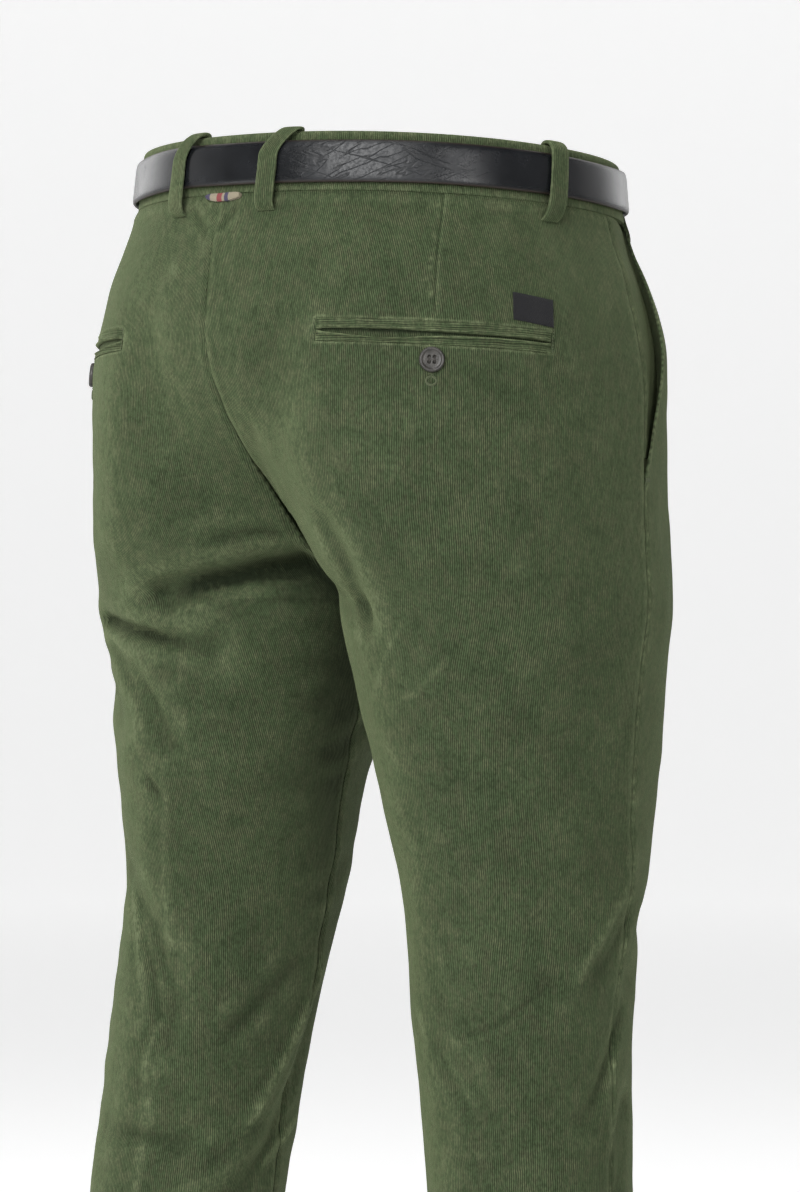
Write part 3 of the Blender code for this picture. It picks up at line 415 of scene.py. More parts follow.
# Creases too fine for the solids. Lean shifts width from the upper to the lower flank; the last column is how
# worn the cloth is along the line, and where it is below zero, painted shade that darkens the fold.
Crease = namedtuple("Crease", "side start middle end width depth lean shine")
CREASES = [
    # the fold of cloth under the left seat and what hangs from it
    Crease("left", (-0.2520, 180), (-0.2565, 144), (-0.274, 98), 0.0060, 0.0050, 0.3, -2.3),
    Crease("left", (-0.2530, 188), (-0.2570, 160), (-0.2620, 134), 0.0160, 0.0004, 0.0, -1.0),
    Crease("left", (-0.236, 168), (-0.2300, 142), (-0.244, 120), 0.0060, 0.0009, 0.0, -0.4),
    Crease("left", (-0.262, 107), (-0.270, 96), (-0.280, 78), 0.0050, 0.0010, 0.2, -0.4),
    Crease("left", (-0.280, 48), (-0.287, 78), (-0.297, 112), 0.0045, 0.0034, -0.3, -1.7),
    Crease("left", (-0.288, 52), (-0.300, 71), (-0.311, 79), 0.0040, -0.0010, 0.0, 0.5),
    Crease("left", (-0.304, 69), (-0.325, 81), (-0.359, 90), 0.0035, -0.0014, 0.0, 0.7),
    Crease("left", (-0.348, 124), (-0.346, 116), (-0.349, 108), 0.0030, 0.0005, 0.0, 0.2),
    Crease("left", (-0.377, 76), (-0.383, 80), (-0.394, 86), 0.0035, 0.0016, 0.0, -0.6),
    Crease("left", (-0.300, 34), (-0.304, 45), (-0.308, 60), 0.0060, 0.0012, 0.0, -0.4),
    # behind the left knee
    Crease("left", (-0.446, 44), (-0.477, 62), (-0.534, 80), 0.0035, -0.0012, 0.2, 0.4),
    Crease("left", (-0.457, 54), (-0.490, 78), (-0.535, 93), 0.0035, -0.0012, 0.2, 0.4),
    Crease("left", (-0.530, 94), (-0.545, 84), (-0.590, 85), 0.0030, -0.0010, 0.0, 0.4),
    Crease("left", (-0.481, 172), (-0.513, 148), (-0.553, 116), 0.0080, 0.0012, 0.0, -0.3),
    Crease("left", (-0.502, 184), (-0.552, 166), (-0.606, 142), 0.0040, -0.0013, 0.0, 0.7),
    Crease("left", (-0.587, 206), (-0.606, 182), (-0.630, 160), 0.0040, -0.0012, 0.0, 0.7),
    Crease("left", (-0.590, 168), (-0.606, 140), (-0.635, 118), 0.0070, 0.0012, 0.0, -0.4),
    Crease("left", (-0.597, 64), (-0.601, 86), (-0.603, 110), 0.0045, 0.0006, 0.0, 0.3),
    # under the right seat
    Crease("right", (-0.228, 96), (-0.250, 100), (-0.275, 110), 0.0060, 0.0005, 0.0, 0.0),
    Crease("right", (-0.272, 112), (-0.280, 103), (-0.296, 96), 0.0080, 0.0014, 0.2, -0.5),
    Crease("right", (-0.279, 76), (-0.305, 90), (-0.343, 97), 0.0035, -0.0005, 0.0, 0.4),
    Crease("right", (-0.293, 60), (-0.317, 68), (-0.336, 90), 0.0035, -0.0003, 0.0, 0.3),
    Crease("right", (-0.156, 150), (-0.182, 153), (-0.210, 176), 0.0120, 0.0010, 0.0, -0.2),
    # behind the right knee
    Crease("right", (-0.430, -34), (-0.462, -17), (-0.503, 4), 0.0035, -0.0009, 0.3, 0.3),
    Crease("right", (-0.440, -44), (-0.477, -21), (-0.506, -4), 0.0060, 0.0010, 0.0, -0.3),
    Crease("right", (-0.527, 66), (-0.521, 42), (-0.496, 15), 0.0030, 0.0006, 0.2, 0.4),
    Crease("right", (-0.514, 102), (-0.526, 96), (-0.540, 90), 0.0040, 0.0008, 0.0, 0.3),
    Crease("right", (-0.535, 77), (-0.555, 64), (-0.584, 50), 0.0035, -0.0008, 0.2, 0.5),
    Crease("right", (-0.503, -42), (-0.541, -26), (-0.578, -7), 0.0045, 0.0012, 0.0, -0.4),
    Crease("right", (-0.570, -42), (-0.594, -29), (-0.620, -22), 0.0045, 0.0010, 0.0, -0.3),
    Crease("right", (-0.596, 30), (-0.604, 54), (-0.600, 86), 0.0040, 0.0004, 0.0, 0.2),
    # beside the seam at centre back, under the waistband
    Crease("left", (-0.044, 152), (-0.054, 166), (-0.064, 179), 0.0035, 0.0010, 0.0, 0.3),
    Crease("left", (-0.083, 156), (-0.080, 150), (-0.078, 143), 0.0050, -0.0006, 0.0, 0.3),
    Crease("right", (-0.043, 158), (-0.052, 168), (-0.060, 179), 0.0035, 0.0007, 0.0, 0.2),
    # across the front of the hips and from the crotch
    Crease("left", (-0.232, -160), (-0.214, -122), (-0.198, -70), 0.007, 0.0011, 0.2, 0.16),
    Crease("left", (-0.259, -158), (-0.262, -124), (-0.246, -80), 0.006, 0.0009, 0.0, 0.12),
    Crease("left", (-0.286, -150), (-0.299, -116), (-0.300, -84), 0.006, 0.0008, -0.2, 0.12),
    Crease("right", (-0.228, -156), (-0.212, -120), (-0.190, -64), 0.007, 0.0010, 0.0, 0.16),
    Crease("right", (-0.258, -160), (-0.266, -128), (-0.258, -90), 0.006, 0.0011, 0.2, 0.12),
    Crease("right", (-0.290, -148), (-0.306, -120), (-0.311, -88), 0.006, 0.0007, 0.0, 0.12),
    Crease("left", (-0.150, -130), (-0.163, -108), (-0.160, -82), 0.008, 0.0005, 0.0, 0.08),
    Crease("right", (-0.142, -134), (-0.152, -114), (-0.146, -88), 0.008, 0.0005, 0.0, 0.08),
    # the fronts of the knees
    Crease("left", (-0.436, -60), (-0.450, -88), (-0.440, -118), 0.007, 0.0008, 0.0, 0.16),
    Crease("left", (-0.498, -62), (-0.512, -92), (-0.500, -126), 0.007, 0.0010, 0.2, 0.16),
    Crease("left", (-0.538, -70), (-0.549, -94), (-0.543, -116), 0.006, 0.0007, 0.0, 0.12),
    Crease("right", (-0.430, -66), (-0.441, -94), (-0.436, -122), 0.007, 0.0008, 0.0, 0.16),
    Crease("right", (-0.494, -60), (-0.507, -90), (-0.498, -128), 0.007, 0.0010, 0.2, 0.16),
    Crease("right", (-0.532, -74), (-0.541, -98), (-0.537, -122), 0.006, 0.0006, 0.0, 0.12),
    # the calves and shins
    Crease("left", (-0.668, 128), (-0.686, 98), (-0.676, 60), 0.008, 0.0010, 0.0, 0.12),
    Crease("left", (-0.752, 120), (-0.768, 92), (-0.760, 62), 0.008, 0.0008, 0.2, 0.12),
    Crease("left", (-0.852, 134), (-0.866, 96), (-0.856, 52), 0.008, 0.0010, 0.0, 0.12),
    Crease("left", (-0.940, 124), (-0.952, 94), (-0.944, 58), 0.007, 0.0012, 0.2, 0.16),
    Crease("right", (-0.672, 122), (-0.690, 92), (-0.684, 58), 0.008, 0.0010, 0.0, 0.12),
    Crease("right", (-0.772, 116), (-0.786, 88), (-0.778, 56), 0.008, 0.0009, 0.2, 0.12),
    Crease("right", (-0.848, 128), (-0.864, 92), (-0.858, 50), 0.008, 0.0010, 0.0, 0.12),
    Crease("right", (-0.938, 120), (-0.951, 90), (-0.947, 60), 0.007, 0.0011, 0.2, 0.16),
    Crease("left", (-0.690, -62), (-0.704, -92), (-0.696, -126), 0.008, 0.0007, 0.0, 0.12),
    Crease("left", (-0.872, -58), (-0.886, -92), (-0.878, -130), 0.008, 0.0008, 0.2, 0.12),
    Crease("right", (-0.700, -58), (-0.712, -92), (-0.704, -124), 0.008, 0.0007, 0.0, 0.12),
    Crease("right", (-0.866, -60), (-0.880, -94), (-0.874, -128), 0.008, 0.0008, 0.2, 0.12),
    # between the thighs
    Crease("left", (-0.330, 196), (-0.356, 180), (-0.372, 152), 0.007, 0.0014, 0.0, 0.2),
    Crease("right", (-0.326, 194), (-0.350, 178), (-0.370, 154), 0.007, 0.0014, 0.0, 0.2),
    Crease("left", (-0.420, 200), (-0.446, 180), (-0.462, 156), 0.008, 0.0011, 0.0, 0.2),
    Crease("right", (-0.424, 196), (-0.448, 178), (-0.470, 158), 0.008, 0.0011, 0.0, 0.2),
]

# The pressed crease down the back and the front of each leg, by height and turn round the leg
Press = namedtuple("Press", "z left_back right_back left_front right_front")
PRESSED = [
    Press(z=-0.180, left_back=92, right_back=88, left_front=-92, right_front=-92),
    Press(z=-0.360, left_back=91, right_back=84, left_front=-92, right_front=-92),
    Press(z=-0.430, left_back=84, right_back=82, left_front=-92, right_front=-92),
    Press(z=-0.515, left_back=90, right_back=68, left_front=-92, right_front=-92),
    Press(z=-0.612, left_back=87, right_back=75, left_front=-92, right_front=-92),
    Press(z=-1.000, left_back=88, right_back=84, left_front=-92, right_front=-92),
]
PRESS_STARTS = {"back": (-0.330, -0.420), "front": (-0.140, -0.330)}
PRESS_HEIGHT = 0.0009
PRESS_WIDTH = 0.0035
PRESS_SHARES = {"left": 0.8, "right": 0.3}  # how much of it is left behind each leg

RIPPLES = ((0.060, 0.00024), (0.020, 0.00016))  # size and height of the cloth's soft waves
RIPPLE_SEEDS = {"left": 3, "right": 11}
THIGH_SHADE_TURNS = (142, 176)  # degrees over which the inside of a thigh is painted darker, as shade

SEAM_GAP = 0.00002  # the dressed edges meet closer than the solids'
SEAM_DIP = 0.0007
SEAM_WIDTH = 0.0024
SEAM_PUFF = 0.00035
PUFF_AWAY = 0.0045  # beside the seam
PUFF_WIDTH = 0.0028
WORN_AWAY = 0.0016
WORN_WIDTH = 0.0009
SEAM_SHINE = {0.0: 0.3, 0.5: 1.7, 1.0: 0.6}  # by the edge's place u
PUCKER_PITCH = 0.0085
PROUD_HEIGHT = 0.0007  # cloth that stands this much above its surroundings is fully worn; as far below them, it is painted darker, as shade
DART_END = -0.112
DART_PANEL = 0.26  # a back panel's width beside the dart, about
DART_BESIDE = (0.0004, 0.0008, 0.0012, 0.0017, 0.0023, 0.0031)  # columns on either side of it
DART_ALONG = (0.148, 0.157)  # from centre back, at the waistband and at its point

# The grain line, halfway between the side seam and each panel's other edge: its distance from the side seam
Grain = namedtuple("Grain", "z back front")
GRAIN = [
    Grain(z=0.000, back=0.128, front=0.092),
    Grain(z=-0.120, back=0.140, front=0.108),
    Grain(z=-0.270, back=0.132, front=0.110),
    Grain(z=-0.520, back=0.112, front=0.086),
    Grain(z=-1.000, back=0.105, front=0.081),
]


def ripple(points, size, seed, count=16):
    """Soft uneven waves of about a size through space, of unit strength."""
    draw = np.random.default_rng(seed)
    ways = draw.normal(size=(count, 3))
    ways *= (2 * np.pi / (size * draw.uniform(0.7, 1.5, count)) / np.linalg.norm(ways, axis=1))[:, None]
    starts = draw.uniform(0, 2 * np.pi, count)
    waves = np.zeros(points.shape[:-1])
    for way, start in zip(ways, starts):
        waves += np.sin(points @ way + start)
    return waves / np.sqrt(count / 2)


def creased(name, phi, z):
    """The fine creases' lift, and their wear and painted shade."""
    radius = curve(ROUND, "radius", z)
    lift, shine = np.zeros(phi.shape), np.zeros(phi.shape)
    for crease in CREASES:
        if crease.side != name:
            continue
        route = route_of(crease)
        turns = np.radians(route[:, 1])
        middle = turns.mean()
        aside = (phi - middle + np.pi) % (2 * np.pi) - np.pi
        reach_out = 3.5 * crease.width
        near = np.abs(aside) < np.abs(turns - middle).max() + reach_out / radius
        near &= (z < route[:, 0].max() + reach_out) & (z > route[:, 0].min() - reach_out)
        if not near.any():
            continue
        across, height, round_radius = aside[near], z[near], radius[near]
        best = np.full(across.shape, np.inf)
        along, signed = np.zeros(across.shape), np.zeros(across.shape)
        steps = np.gradient(np.stack([turns * 0.08, route[:, 0]], 1), axis=0)
        for k in range(ROUTE_STEPS):
            dx = (across - (turns[k] - middle)) * round_radius
            dz = height - route[k, 0]
            distance = dx * dx + dz * dz
            closer = distance < best
            best[closer] = distance[closer]
            along[closer] = k / (ROUTE_STEPS - 1)
            side = steps[k, 0] * dz - steps[k, 1] * dx
            side *= np.sign(steps[k, 0]) or 1
            signed[closer] = np.sign(side[closer])
        distance = np.sqrt(best) / (crease.width * (1 + crease.lean * signed))
        fade = soft_step(along / 0.3) * soft_step((1 - along) / 0.3)
        trough = np.exp(-distance**2) - 0.45 * np.exp(-((distance - 1.7) ** 2) / 0.8)
        lift[near] -= crease.depth * fade * trough
        # below zero, the line's value is painted shade along the fold
        ridge = np.abs(distance - 1.3) / 0.5 if crease.depth > 0 and crease.shine > 0 else distance / 0.7
        shine[near] += crease.shine * fade * np.exp(-(ridge**2))
    return lift, shine


class Lengths:
    """Lengths round one side's rows, tabled once, from the side seam: the front positive."""

    def __init__(self, name):
        self.z = np.linspace(0, -LENGTH, 401)
        self.u = np.linspace(0, 1, 241)
        points = section(name, self.u[None, :], self.z[:, None])
        steps = np.linalg.norm(np.diff(points, axis=1), axis=2)
        lengths = np.concatenate([np.zeros((len(self.z), 1)), np.cumsum(steps, 1)], 1)
        self.lengths = lengths - lengths[:, [120]]

    def at(self, u, z):
        i = np.clip(-z / LENGTH * (len(self.z) - 1), 0, len(self.z) - 1.001)
        j = np.clip(u * (len(self.u) - 1), 0, len(self.u) - 1.001)
        low, left = i.astype(int), j.astype(int)
        down, right = i - low, j - left
        table = self.lengths
        above = table[low, left] * (1 - right) + table[low, left + 1] * right
        below = table[low + 1, left] * (1 - right) + table[low + 1, left + 1] * right
        return above * (1 - down) + below * down


TABLES = {}


def from_side_seam(name, u, z):
    if name not in TABLES:
        TABLES[name] = Lengths(name)
    return TABLES[name].at(u, z)


def pressed(name, phi, z):
    """How strong the pressed creases are, on the front and the back of the leg."""
    radius = curve(ROUND, "radius", z)
    strength = np.zeros(np.shape(phi))
    for face, (start, full) in PRESS_STARTS.items():
        turn = np.radians(curve(PRESSED, f"{name}_{face}", z))
        aside = np.abs(phi - turn) * radius / PRESS_WIDTH
        strength = strength + soft_step((start - z) / (start - full)) * np.exp(-(aside**1.4))
    return strength


def bell(distance, width):
    """1 at no distance, falling off smoothly past a width on either side."""
    return np.exp(-((distance / width) ** 2))


def dart_line(z):
    """How far along the rows from centre back the dart lies at height z."""
    share = np.clip((z + BAND_HEIGHT) / (DART_END + BAND_HEIGHT), 0, 1)
    return DART_ALONG[0] + (DART_ALONG[1] - DART_ALONG[0]) * share


def pocket_line(along):
    """The height of a back pocket's slit at a length from centre back."""
    share = (along - POCKET_INNER) / (POCKET_OUTER - POCKET_INNER)
    return POCKET_HEIGHTS[0] + (POCKET_HEIGHTS[1] - POCKET_HEIGHTS[0]) * share


def seamed(name, u, z):
    """How the cloth dips to its seams, with small puckers beside them, its worn edges there, and painted
    shade along the seam lines, the dart and the pockets' slits.
    """
    across = from_side_seam(name, u, z)
    lift, shine = np.zeros(np.shape(across)), np.zeros(np.shape(across))
    seam = -(BAND_HEIGHT + GAP / 2)
    below = soft_step((seam - z) / 0.002)
    for edge in (0.0, 0.5, 1.0):
        away = np.abs(across - from_side_seam(name, np.full(np.shape(u), edge), z))
        drawn = below if edge else below * (0.25 + 1.25 * soft_step((-0.10 - z) / 0.08))
        pucker = 1 + 0.6 * np.sin(2 * np.pi * z / PUCKER_PITCH + 3 * np.sin(z * 90))
        lift -= SEAM_DIP * drawn * bell(away, SEAM_WIDTH)
        lift += SEAM_PUFF * below * pucker * bell(away - PUFF_AWAY, PUFF_WIDTH)
        dashes = 0.55 + 0.45 * np.sin(z * 520 + 4 * np.sin(z * 130))
        shine += below * SEAM_SHINE[edge] * dashes * bell(away - WORN_AWAY, WORN_WIDTH)
        # painted shade along the seam line itself
        shine -= drawn * 0.5 * bell(away, 0.0007)
    pucker = 1 + 0.6 * np.sin(2 * np.pi * across / PUCKER_PITCH + 3 * np.sin(across * 70))
    lift -= SEAM_DIP * bell(z - seam, SEAM_WIDTH)
    lift += SEAM_PUFF * pucker * bell(seam - z - PUFF_AWAY, PUFF_WIDTH)
    shine += 0.5 * bell(seam - z - WORN_AWAY, WORN_WIDTH)
    # the dart and its ticks, with painted shade along its fold
    from_rise = across - from_side_seam(name, np.zeros(np.shape(u)), z)
    away = from_rise - dart_line(z)
    held = soft_step((z - DART_END) / 0.010) * (u < 0.5)
    tick = bell(np.sin(np.pi * z / 0.0058 + 0.8 * np.sin(z * 150)), 0.35)
    lift += held * 0.0004 * bell(away - 0.0028, 0.0024)
    lift += held * 0.0004 * tick * bell(away + 0.0030, 0.0022)
    lift -= held * 0.0005 * bell(away, 0.0009)
    shine += held * 0.4 * bell(away - 0.0014, 0.0007)
    shine += held * 0.8 * tick * bell(away + 0.0026, 0.0016)
    shine -= held * 0.6 * bell(away, 0.0005)
    # the trough under each back pocket's slit, where the welts lie, with painted shade in the slit, and the
    # worn rim round them
    slit = pocket_line(np.clip(from_rise, POCKET_INNER, POCKET_OUTER))
    past = np.maximum(np.maximum(POCKET_INNER - from_rise, from_rise - POCKET_OUTER), 0)
    half = SLIT / 2 + WELT_HEIGHT
    rim = np.hypot(np.maximum(np.abs(z - slit) - half, 0), past)
    inside = np.maximum(np.abs(z - slit) / half, 1e-6)
    back = u < 0.5
    lift -= back * 0.0016 * bell(past, 0.001) * np.exp(-(inside**4))
    lift += back * 0.0005 * (rim > 0) * bell(rim - 0.0010, 0.0009)
    uneven = 0.6 + 0.4 * np.sin(from_rise * 260 + 3 * np.sin(from_rise * 90) + 40 * z)
    shine -= back * 1.5 * bell(past, 0.001) * bell(z - slit - 0.0006, 0.0012)
    shine += back * 1.2 * uneven * (rim > 0) * bell(rim - 0.0008, 0.0008)
    return lift, shine


def detail(name, u, z, points):
    """Everything the fine meshes add to the solids' form: lift, and wear with painted shade."""
    phi = angle(u, z)
    lift, shine = creased(name, phi, z)
    press = pressed(name, phi, z)
    # the seams' marks: worn edges, and painted shade in the seam lines, the dart and the slits
    seams, worn = seamed(name, u, z)
    press = press * np.where(phi > 0, PRESS_SHARES[name], 0.6)
    lift = lift + press * PRESS_HEIGHT + seams
    below_band = soft_step((-BAND_HEIGHT - 0.004 - z) / 0.02)
    seed = RIPPLE_SEEDS[name]
    lift += below_band * sum(high * ripple(points, size, seed + k) for k, (size, high) in enumerate(RIPPLES))
    # painted shade: the insides of the thighs, behind, are painted darker
    inner = soft_step((phi - np.radians(THIGH_SHADE_TURNS[0])) / np.radians(THIGH_SHADE_TURNS[1] - THIGH_SHADE_TURNS[0]))
    inner = inner * soft_step((-0.235 - z) / 0.03) * soft_step((z + 0.50) / 0.16)
    return lift, shine + worn + 0.30 * press * soft_step((-0.2 - z) / 0.3) - 1.5 * inner


def laid(name, u, z, fine=True):
    """The creased cloth's outer face: points and normals with +X outwards, lift, and wear with painted shade.
    """
    u, z = np.broadcast_arrays(np.asarray(u, float), np.asarray(z, float))
    du, dz = 1e-3, 5e-4
    u_low, u_high = np.clip(u - du, 0, 1), np.clip(u + du, 0, 1)
    round_it = section(name, u_high, z) - section(name, u_low, z)
    up_it = section(name, u, z + dz) - section(name, u, z - dz)
    normal = np.cross(up_it, round_it)
    normal /= np.maximum(np.linalg.norm(normal, axis=-1, keepdims=True), 1e-12)
    points = section(name, u, z)
    lift, shine = detail(name, u, z, points) if fine else (0.0, 0.0)
    lift = lift + relief(name, angle(u, z), z)
    return points + normal * lift[..., None], normal, lift, shine


def shifted(name, points, normal, out):
    """Those points moved out, in world coordinates."""
    points = points + normal * np.asarray(out)[..., None]
    points[..., 0] = np.maximum(points[..., 0], SEAM_GAP / 2)
    return points * np.array([SIDES[name], 1, 1])


def place_at(name, start, z, distance):
    """The places u a distance towards the front from the place start, at heights z."""
    start = np.full(np.shape(z), float(start))
    want = from_side_seam(name, start, z) + distance
    low, high = np.zeros(np.shape(z)), np.ones(np.shape(z))
    for _ in range(26):
        middle = (low + high) / 2
        over = from_side_seam(name, middle, z) > want
        high, low = np.where(over, middle, high), np.where(over, low, middle)
    return (low + high) / 2


def from_middle(start, z, along, out, fine):
    """Points at a length along the rows from centre back (start 0) or centre front (start 1)."""
    z, along, out = np.broadcast_arrays(*(np.asarray(values, float) for values in (z, along, out)))
    points = np.zeros(z.shape + (3,))
    for name, sign in SIDES.items():
        mine = along >= 0 if sign > 0 else along < 0
        if mine.any():
            away = np.abs(along[mine]) * (1 - 2 * start)
            height = np.minimum(z[mine], 0)
            face, normal, _, _ = laid(name, place_at(name, start, height, away), height, fine)
            points[mine] = shifted(name, face, normal, out[mine])
    points[..., 2] += np.maximum(z, 0)
    return points


def from_back(z, along, out=0.0, fine=True):
    """The point at a length from centre back along a row, the wearer's left positive."""
    return from_middle(0, z, along, out, fine)


def from_front(z, along, out=0.0, fine=True):
    """The point at a length from centre front along a row, the wearer's left positive."""
    return from_middle(1, z, along, out, fine)


# ---------------------------------------------------------------- meshes
def piece(name, points, faces, material, smooth=40, **fields):
    """A mesh on the root body; fields are values at its points: numbers, or vectors of three."""
    mesh = bpy.data.meshes.new(name)
    mesh.from_pydata(np.asarray(points, float).reshape(-1, 3), [], faces)
    for field, values in fields.items():
        values = np.asarray(values, float)
        if values.ndim > 1 and values.shape[-1] == 3:
            mesh.attributes.new(field, "FLOAT_VECTOR", "POINT").data.foreach_set("vector", values.reshape(-1))
        else:
            mesh.attributes.new(field, "FLOAT", "POINT").data.foreach_set("value", values.reshape(-1))
    mesh.shade_smooth()
    mesh.set_sharp_from_angle(angle=np.radians(smooth))
    mesh.materials.append(material)
    made = bpy.data.objects.new(name, mesh)
    bpy.context.scene.collection.objects.link(made)
    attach(made, "root")
    return made


def grid_faces(rows, columns, start=0, flip=False, closed=False):
    """Quads of a grid whose rows go down and columns clockwise seen from above; closed joins the last
    column to the first."""
    i, j = np.meshgrid(np.arange(rows - 1), np.arange(columns if closed else columns - 1), indexing="ij")
    after = (j + 1) % columns
    corners = [i * columns + j, i * columns + after, (i + 1) * columns + after, (i + 1) * columns + j]
    if flip:
        corners.reverse()
    return np.stack(corners, -1).reshape(-1, 4) + start


def wall(name, outside, inside, material, **fields):
    """A closed wall between two grids. Fields are given as (outside, inside) grids."""
    outside, inside = np.asarray(outside), np.asarray(inside)
    rows, columns = outside.shape[:2]
    count = rows * columns
    border = [(0, j) for j in range(columns)]
    border += [(i, columns - 1) for i in range(1, rows)]
    border += [(rows - 1, j) for j in range(columns - 2, -1, -1)]
    border += [(i, 0) for i in range(rows - 2, 0, -1)]
    here = np.array([i * columns + j for i, j in border])
    there = np.roll(here, -1)
    rim = np.stack([there, here, here + count, there + count], 1)
    faces = np.concatenate([grid_faces(rows, columns), grid_faces(rows, columns, count, flip=True), rim])
    points = np.concatenate([outside.reshape(-1, 3), inside.reshape(-1, 3)])
    joined = {
        field: np.concatenate([np.asarray(layer).reshape(count, -1) for layer in layers]).squeeze()
        for field, layers in fields.items()
    }
    return piece(name, points, faces, material, **joined)


def blurred(values, half):
    """Values averaged over a window of a grid, for telling ridges from hollows."""
    for axis in (0, 1):
        pad = [(half, half) if k == axis else (0, 0) for k in (0, 1)]
        padded = np.pad(values, pad, mode="edge")
        total = np.cumsum(np.insert(padded, 0, 0, axis=axis), axis=axis)
        n = values.shape[axis]
        high = np.take(total, np.arange(2 * half + 1, 2 * half + 1 + n), axis=axis)
        low = np.take(total, np.arange(n), axis=axis)
        values = (high - low) / (2 * half + 1)
    return values


def in_cloth(across, down):
    """A piece's own coordinates, across and down its cloth or leather, for its material."""
    across, down = np.broadcast_arrays(across, down)
    return np.stack([across, down, down * 0.0], -1)


def ring_faces(count, sides):
    """Faces round count rings of points, with both ends closed, all facing outwards."""
    quads = [tuple(face) for face in grid_faces(count, sides, flip=True, closed=True)]
    last = (count - 1) * sides
    return quads + [tuple(range(sides)), tuple(range(last + sides - 1, last - 1, -1))]


def grain_of(name, face, u, z):
    """Where each point lies in the cloth: across from the grain line, and down."""
    line = curve(GRAIN, face, z) * (-1 if face == "back" else 1)
    return in_cloth(from_side_seam(name, u, z) - line, z)


def panel(name, side, face, u, z, lifts, material, shade=0.0):
    """A cloth wall over the fine surface, with its grain, and its wear and painted shade in one field."""
    if side == "right":
        u, z, lifts, shade = (np.broadcast_to(grid, u.shape)[:, ::-1] for grid in (u, z, lifts, shade))
    points, normal, total, shine = laid(side, u, z)
    outside = shifted(side, points, normal, lifts)
    inside = shifted(side, points, normal, lifts - CLOTH)
    middle = ((u < 1e-9) | (u > 1 - 1e-9)) & (z > CROTCH - 1e-9)  # the seams between the halves
    outside[middle, 0] = inside[middle, 0] = SIDES[side] * SEAM_GAP / 2
    # ridges read as wear, hollows as painted shade
    proud = np.clip((total - blurred(total, 4)) / PROUD_HEIGHT, -1, 1)
    grain = grain_of(side, face, u, z)
    wear = proud * 0.5 + shine + shade
    return wall(name, outside, inside, material, grain=(grain, grain), wear=(wear, wear * 0))


# ---------------------------------------------------------------- materials
class Paint:
    """A material being made; its methods add nodes and give back their outputs."""

    def __init__(self, name, roughness, **shader):
        self.material = bpy.data.materials.new(name)
        self.material.use_nodes = True
        self.tree = self.material.node_tree
        self.shader = self.tree.nodes["Principled BSDF"]
        self.shader.inputs["Roughness"].default_value = roughness
        for socket, value in shader.items():
            self.shader.inputs[socket.replace("_", " ")].default_value = value
        self.place = self.node("TexCoord").outputs["Object"]

    def node(self, kind, settings=None, **inputs):
        made = self.tree.nodes.new("ShaderNode" + kind)
        for key, value in (settings or {}).items():
            setattr(made, key, value)
        for key, value in inputs.items():
            socket = made.inputs[int(key[1:])] if key[0] == "n" and key[1:].isdigit() else made.inputs[key]
            if isinstance(value, bpy.types.NodeSocket):
                self.tree.links.new(value, socket)
            else:
                socket.default_value = value
        return made

    def math(self, operation, *values):
        inputs = {f"n{k}": value for k, value in enumerate(values)}
        return self.node("Math", {"operation": operation}, **inputs).outputs[0]

    def times(self, first, second):
        return self.math("MULTIPLY", first, second)

    def plus(self, first, second):
        return self.math("ADD", first, second)

    def grey(self, value):
        return self.node("CombineColor", n0=value, n1=value, n2=value).outputs[0]

    def noise(self, size, detail=2.0, roughness=0.5, stretch=None, place=None):
        """Noise whose features are about a size across; stretch makes them longer along an axis."""
        place = self.place if place is None else place
        if stretch:
            scale = tuple(1 / value for value in stretch)
            place = self.node("Mapping", Vector=place, Scale=scale).outputs[0]
        made = self.node("TexNoise", Vector=place, Scale=1 / size, Detail=detail, Roughness=roughness)
        return made.outputs["Fac"]

    def span(self, value, low, high, first=0.0, last=1.0):
        return self.node(
            "MapRange", **{"Value": value, "From Min": low, "From Max": high, "To Min": first, "To Max": last}
        ).outputs[0]

    def mix(self, share, first, second, blend="MIX"):
        colours = [(*c, 1) if isinstance(c, tuple) else c for c in (first, second)]
        kind = {"data_type": "RGBA", "blend_type": blend}
        return self.node("Mix", kind, n0=share, n6=colours[0], n7=colours[1]).outputs[2]

    def field(self, name):
        return self.node("Attribute", {"attribute_name": name})

    def colour(self, value):
        self.tree.links.new(value, self.shader.inputs["Base Color"])

    def roughness(self, value):
        self.tree.links.new(value, self.shader.inputs["Roughness"])

    def bump(self, height, distance, strength=1.0, before=None):
        inputs = {"Height": height, "Distance": distance, "Strength": strength}
        if before is not None:
            inputs["Normal"] = before
        made = self.node("Bump", **inputs).outputs[0]
        self.tree.links.new(made, self.shader.inputs["Normal"])
        return made


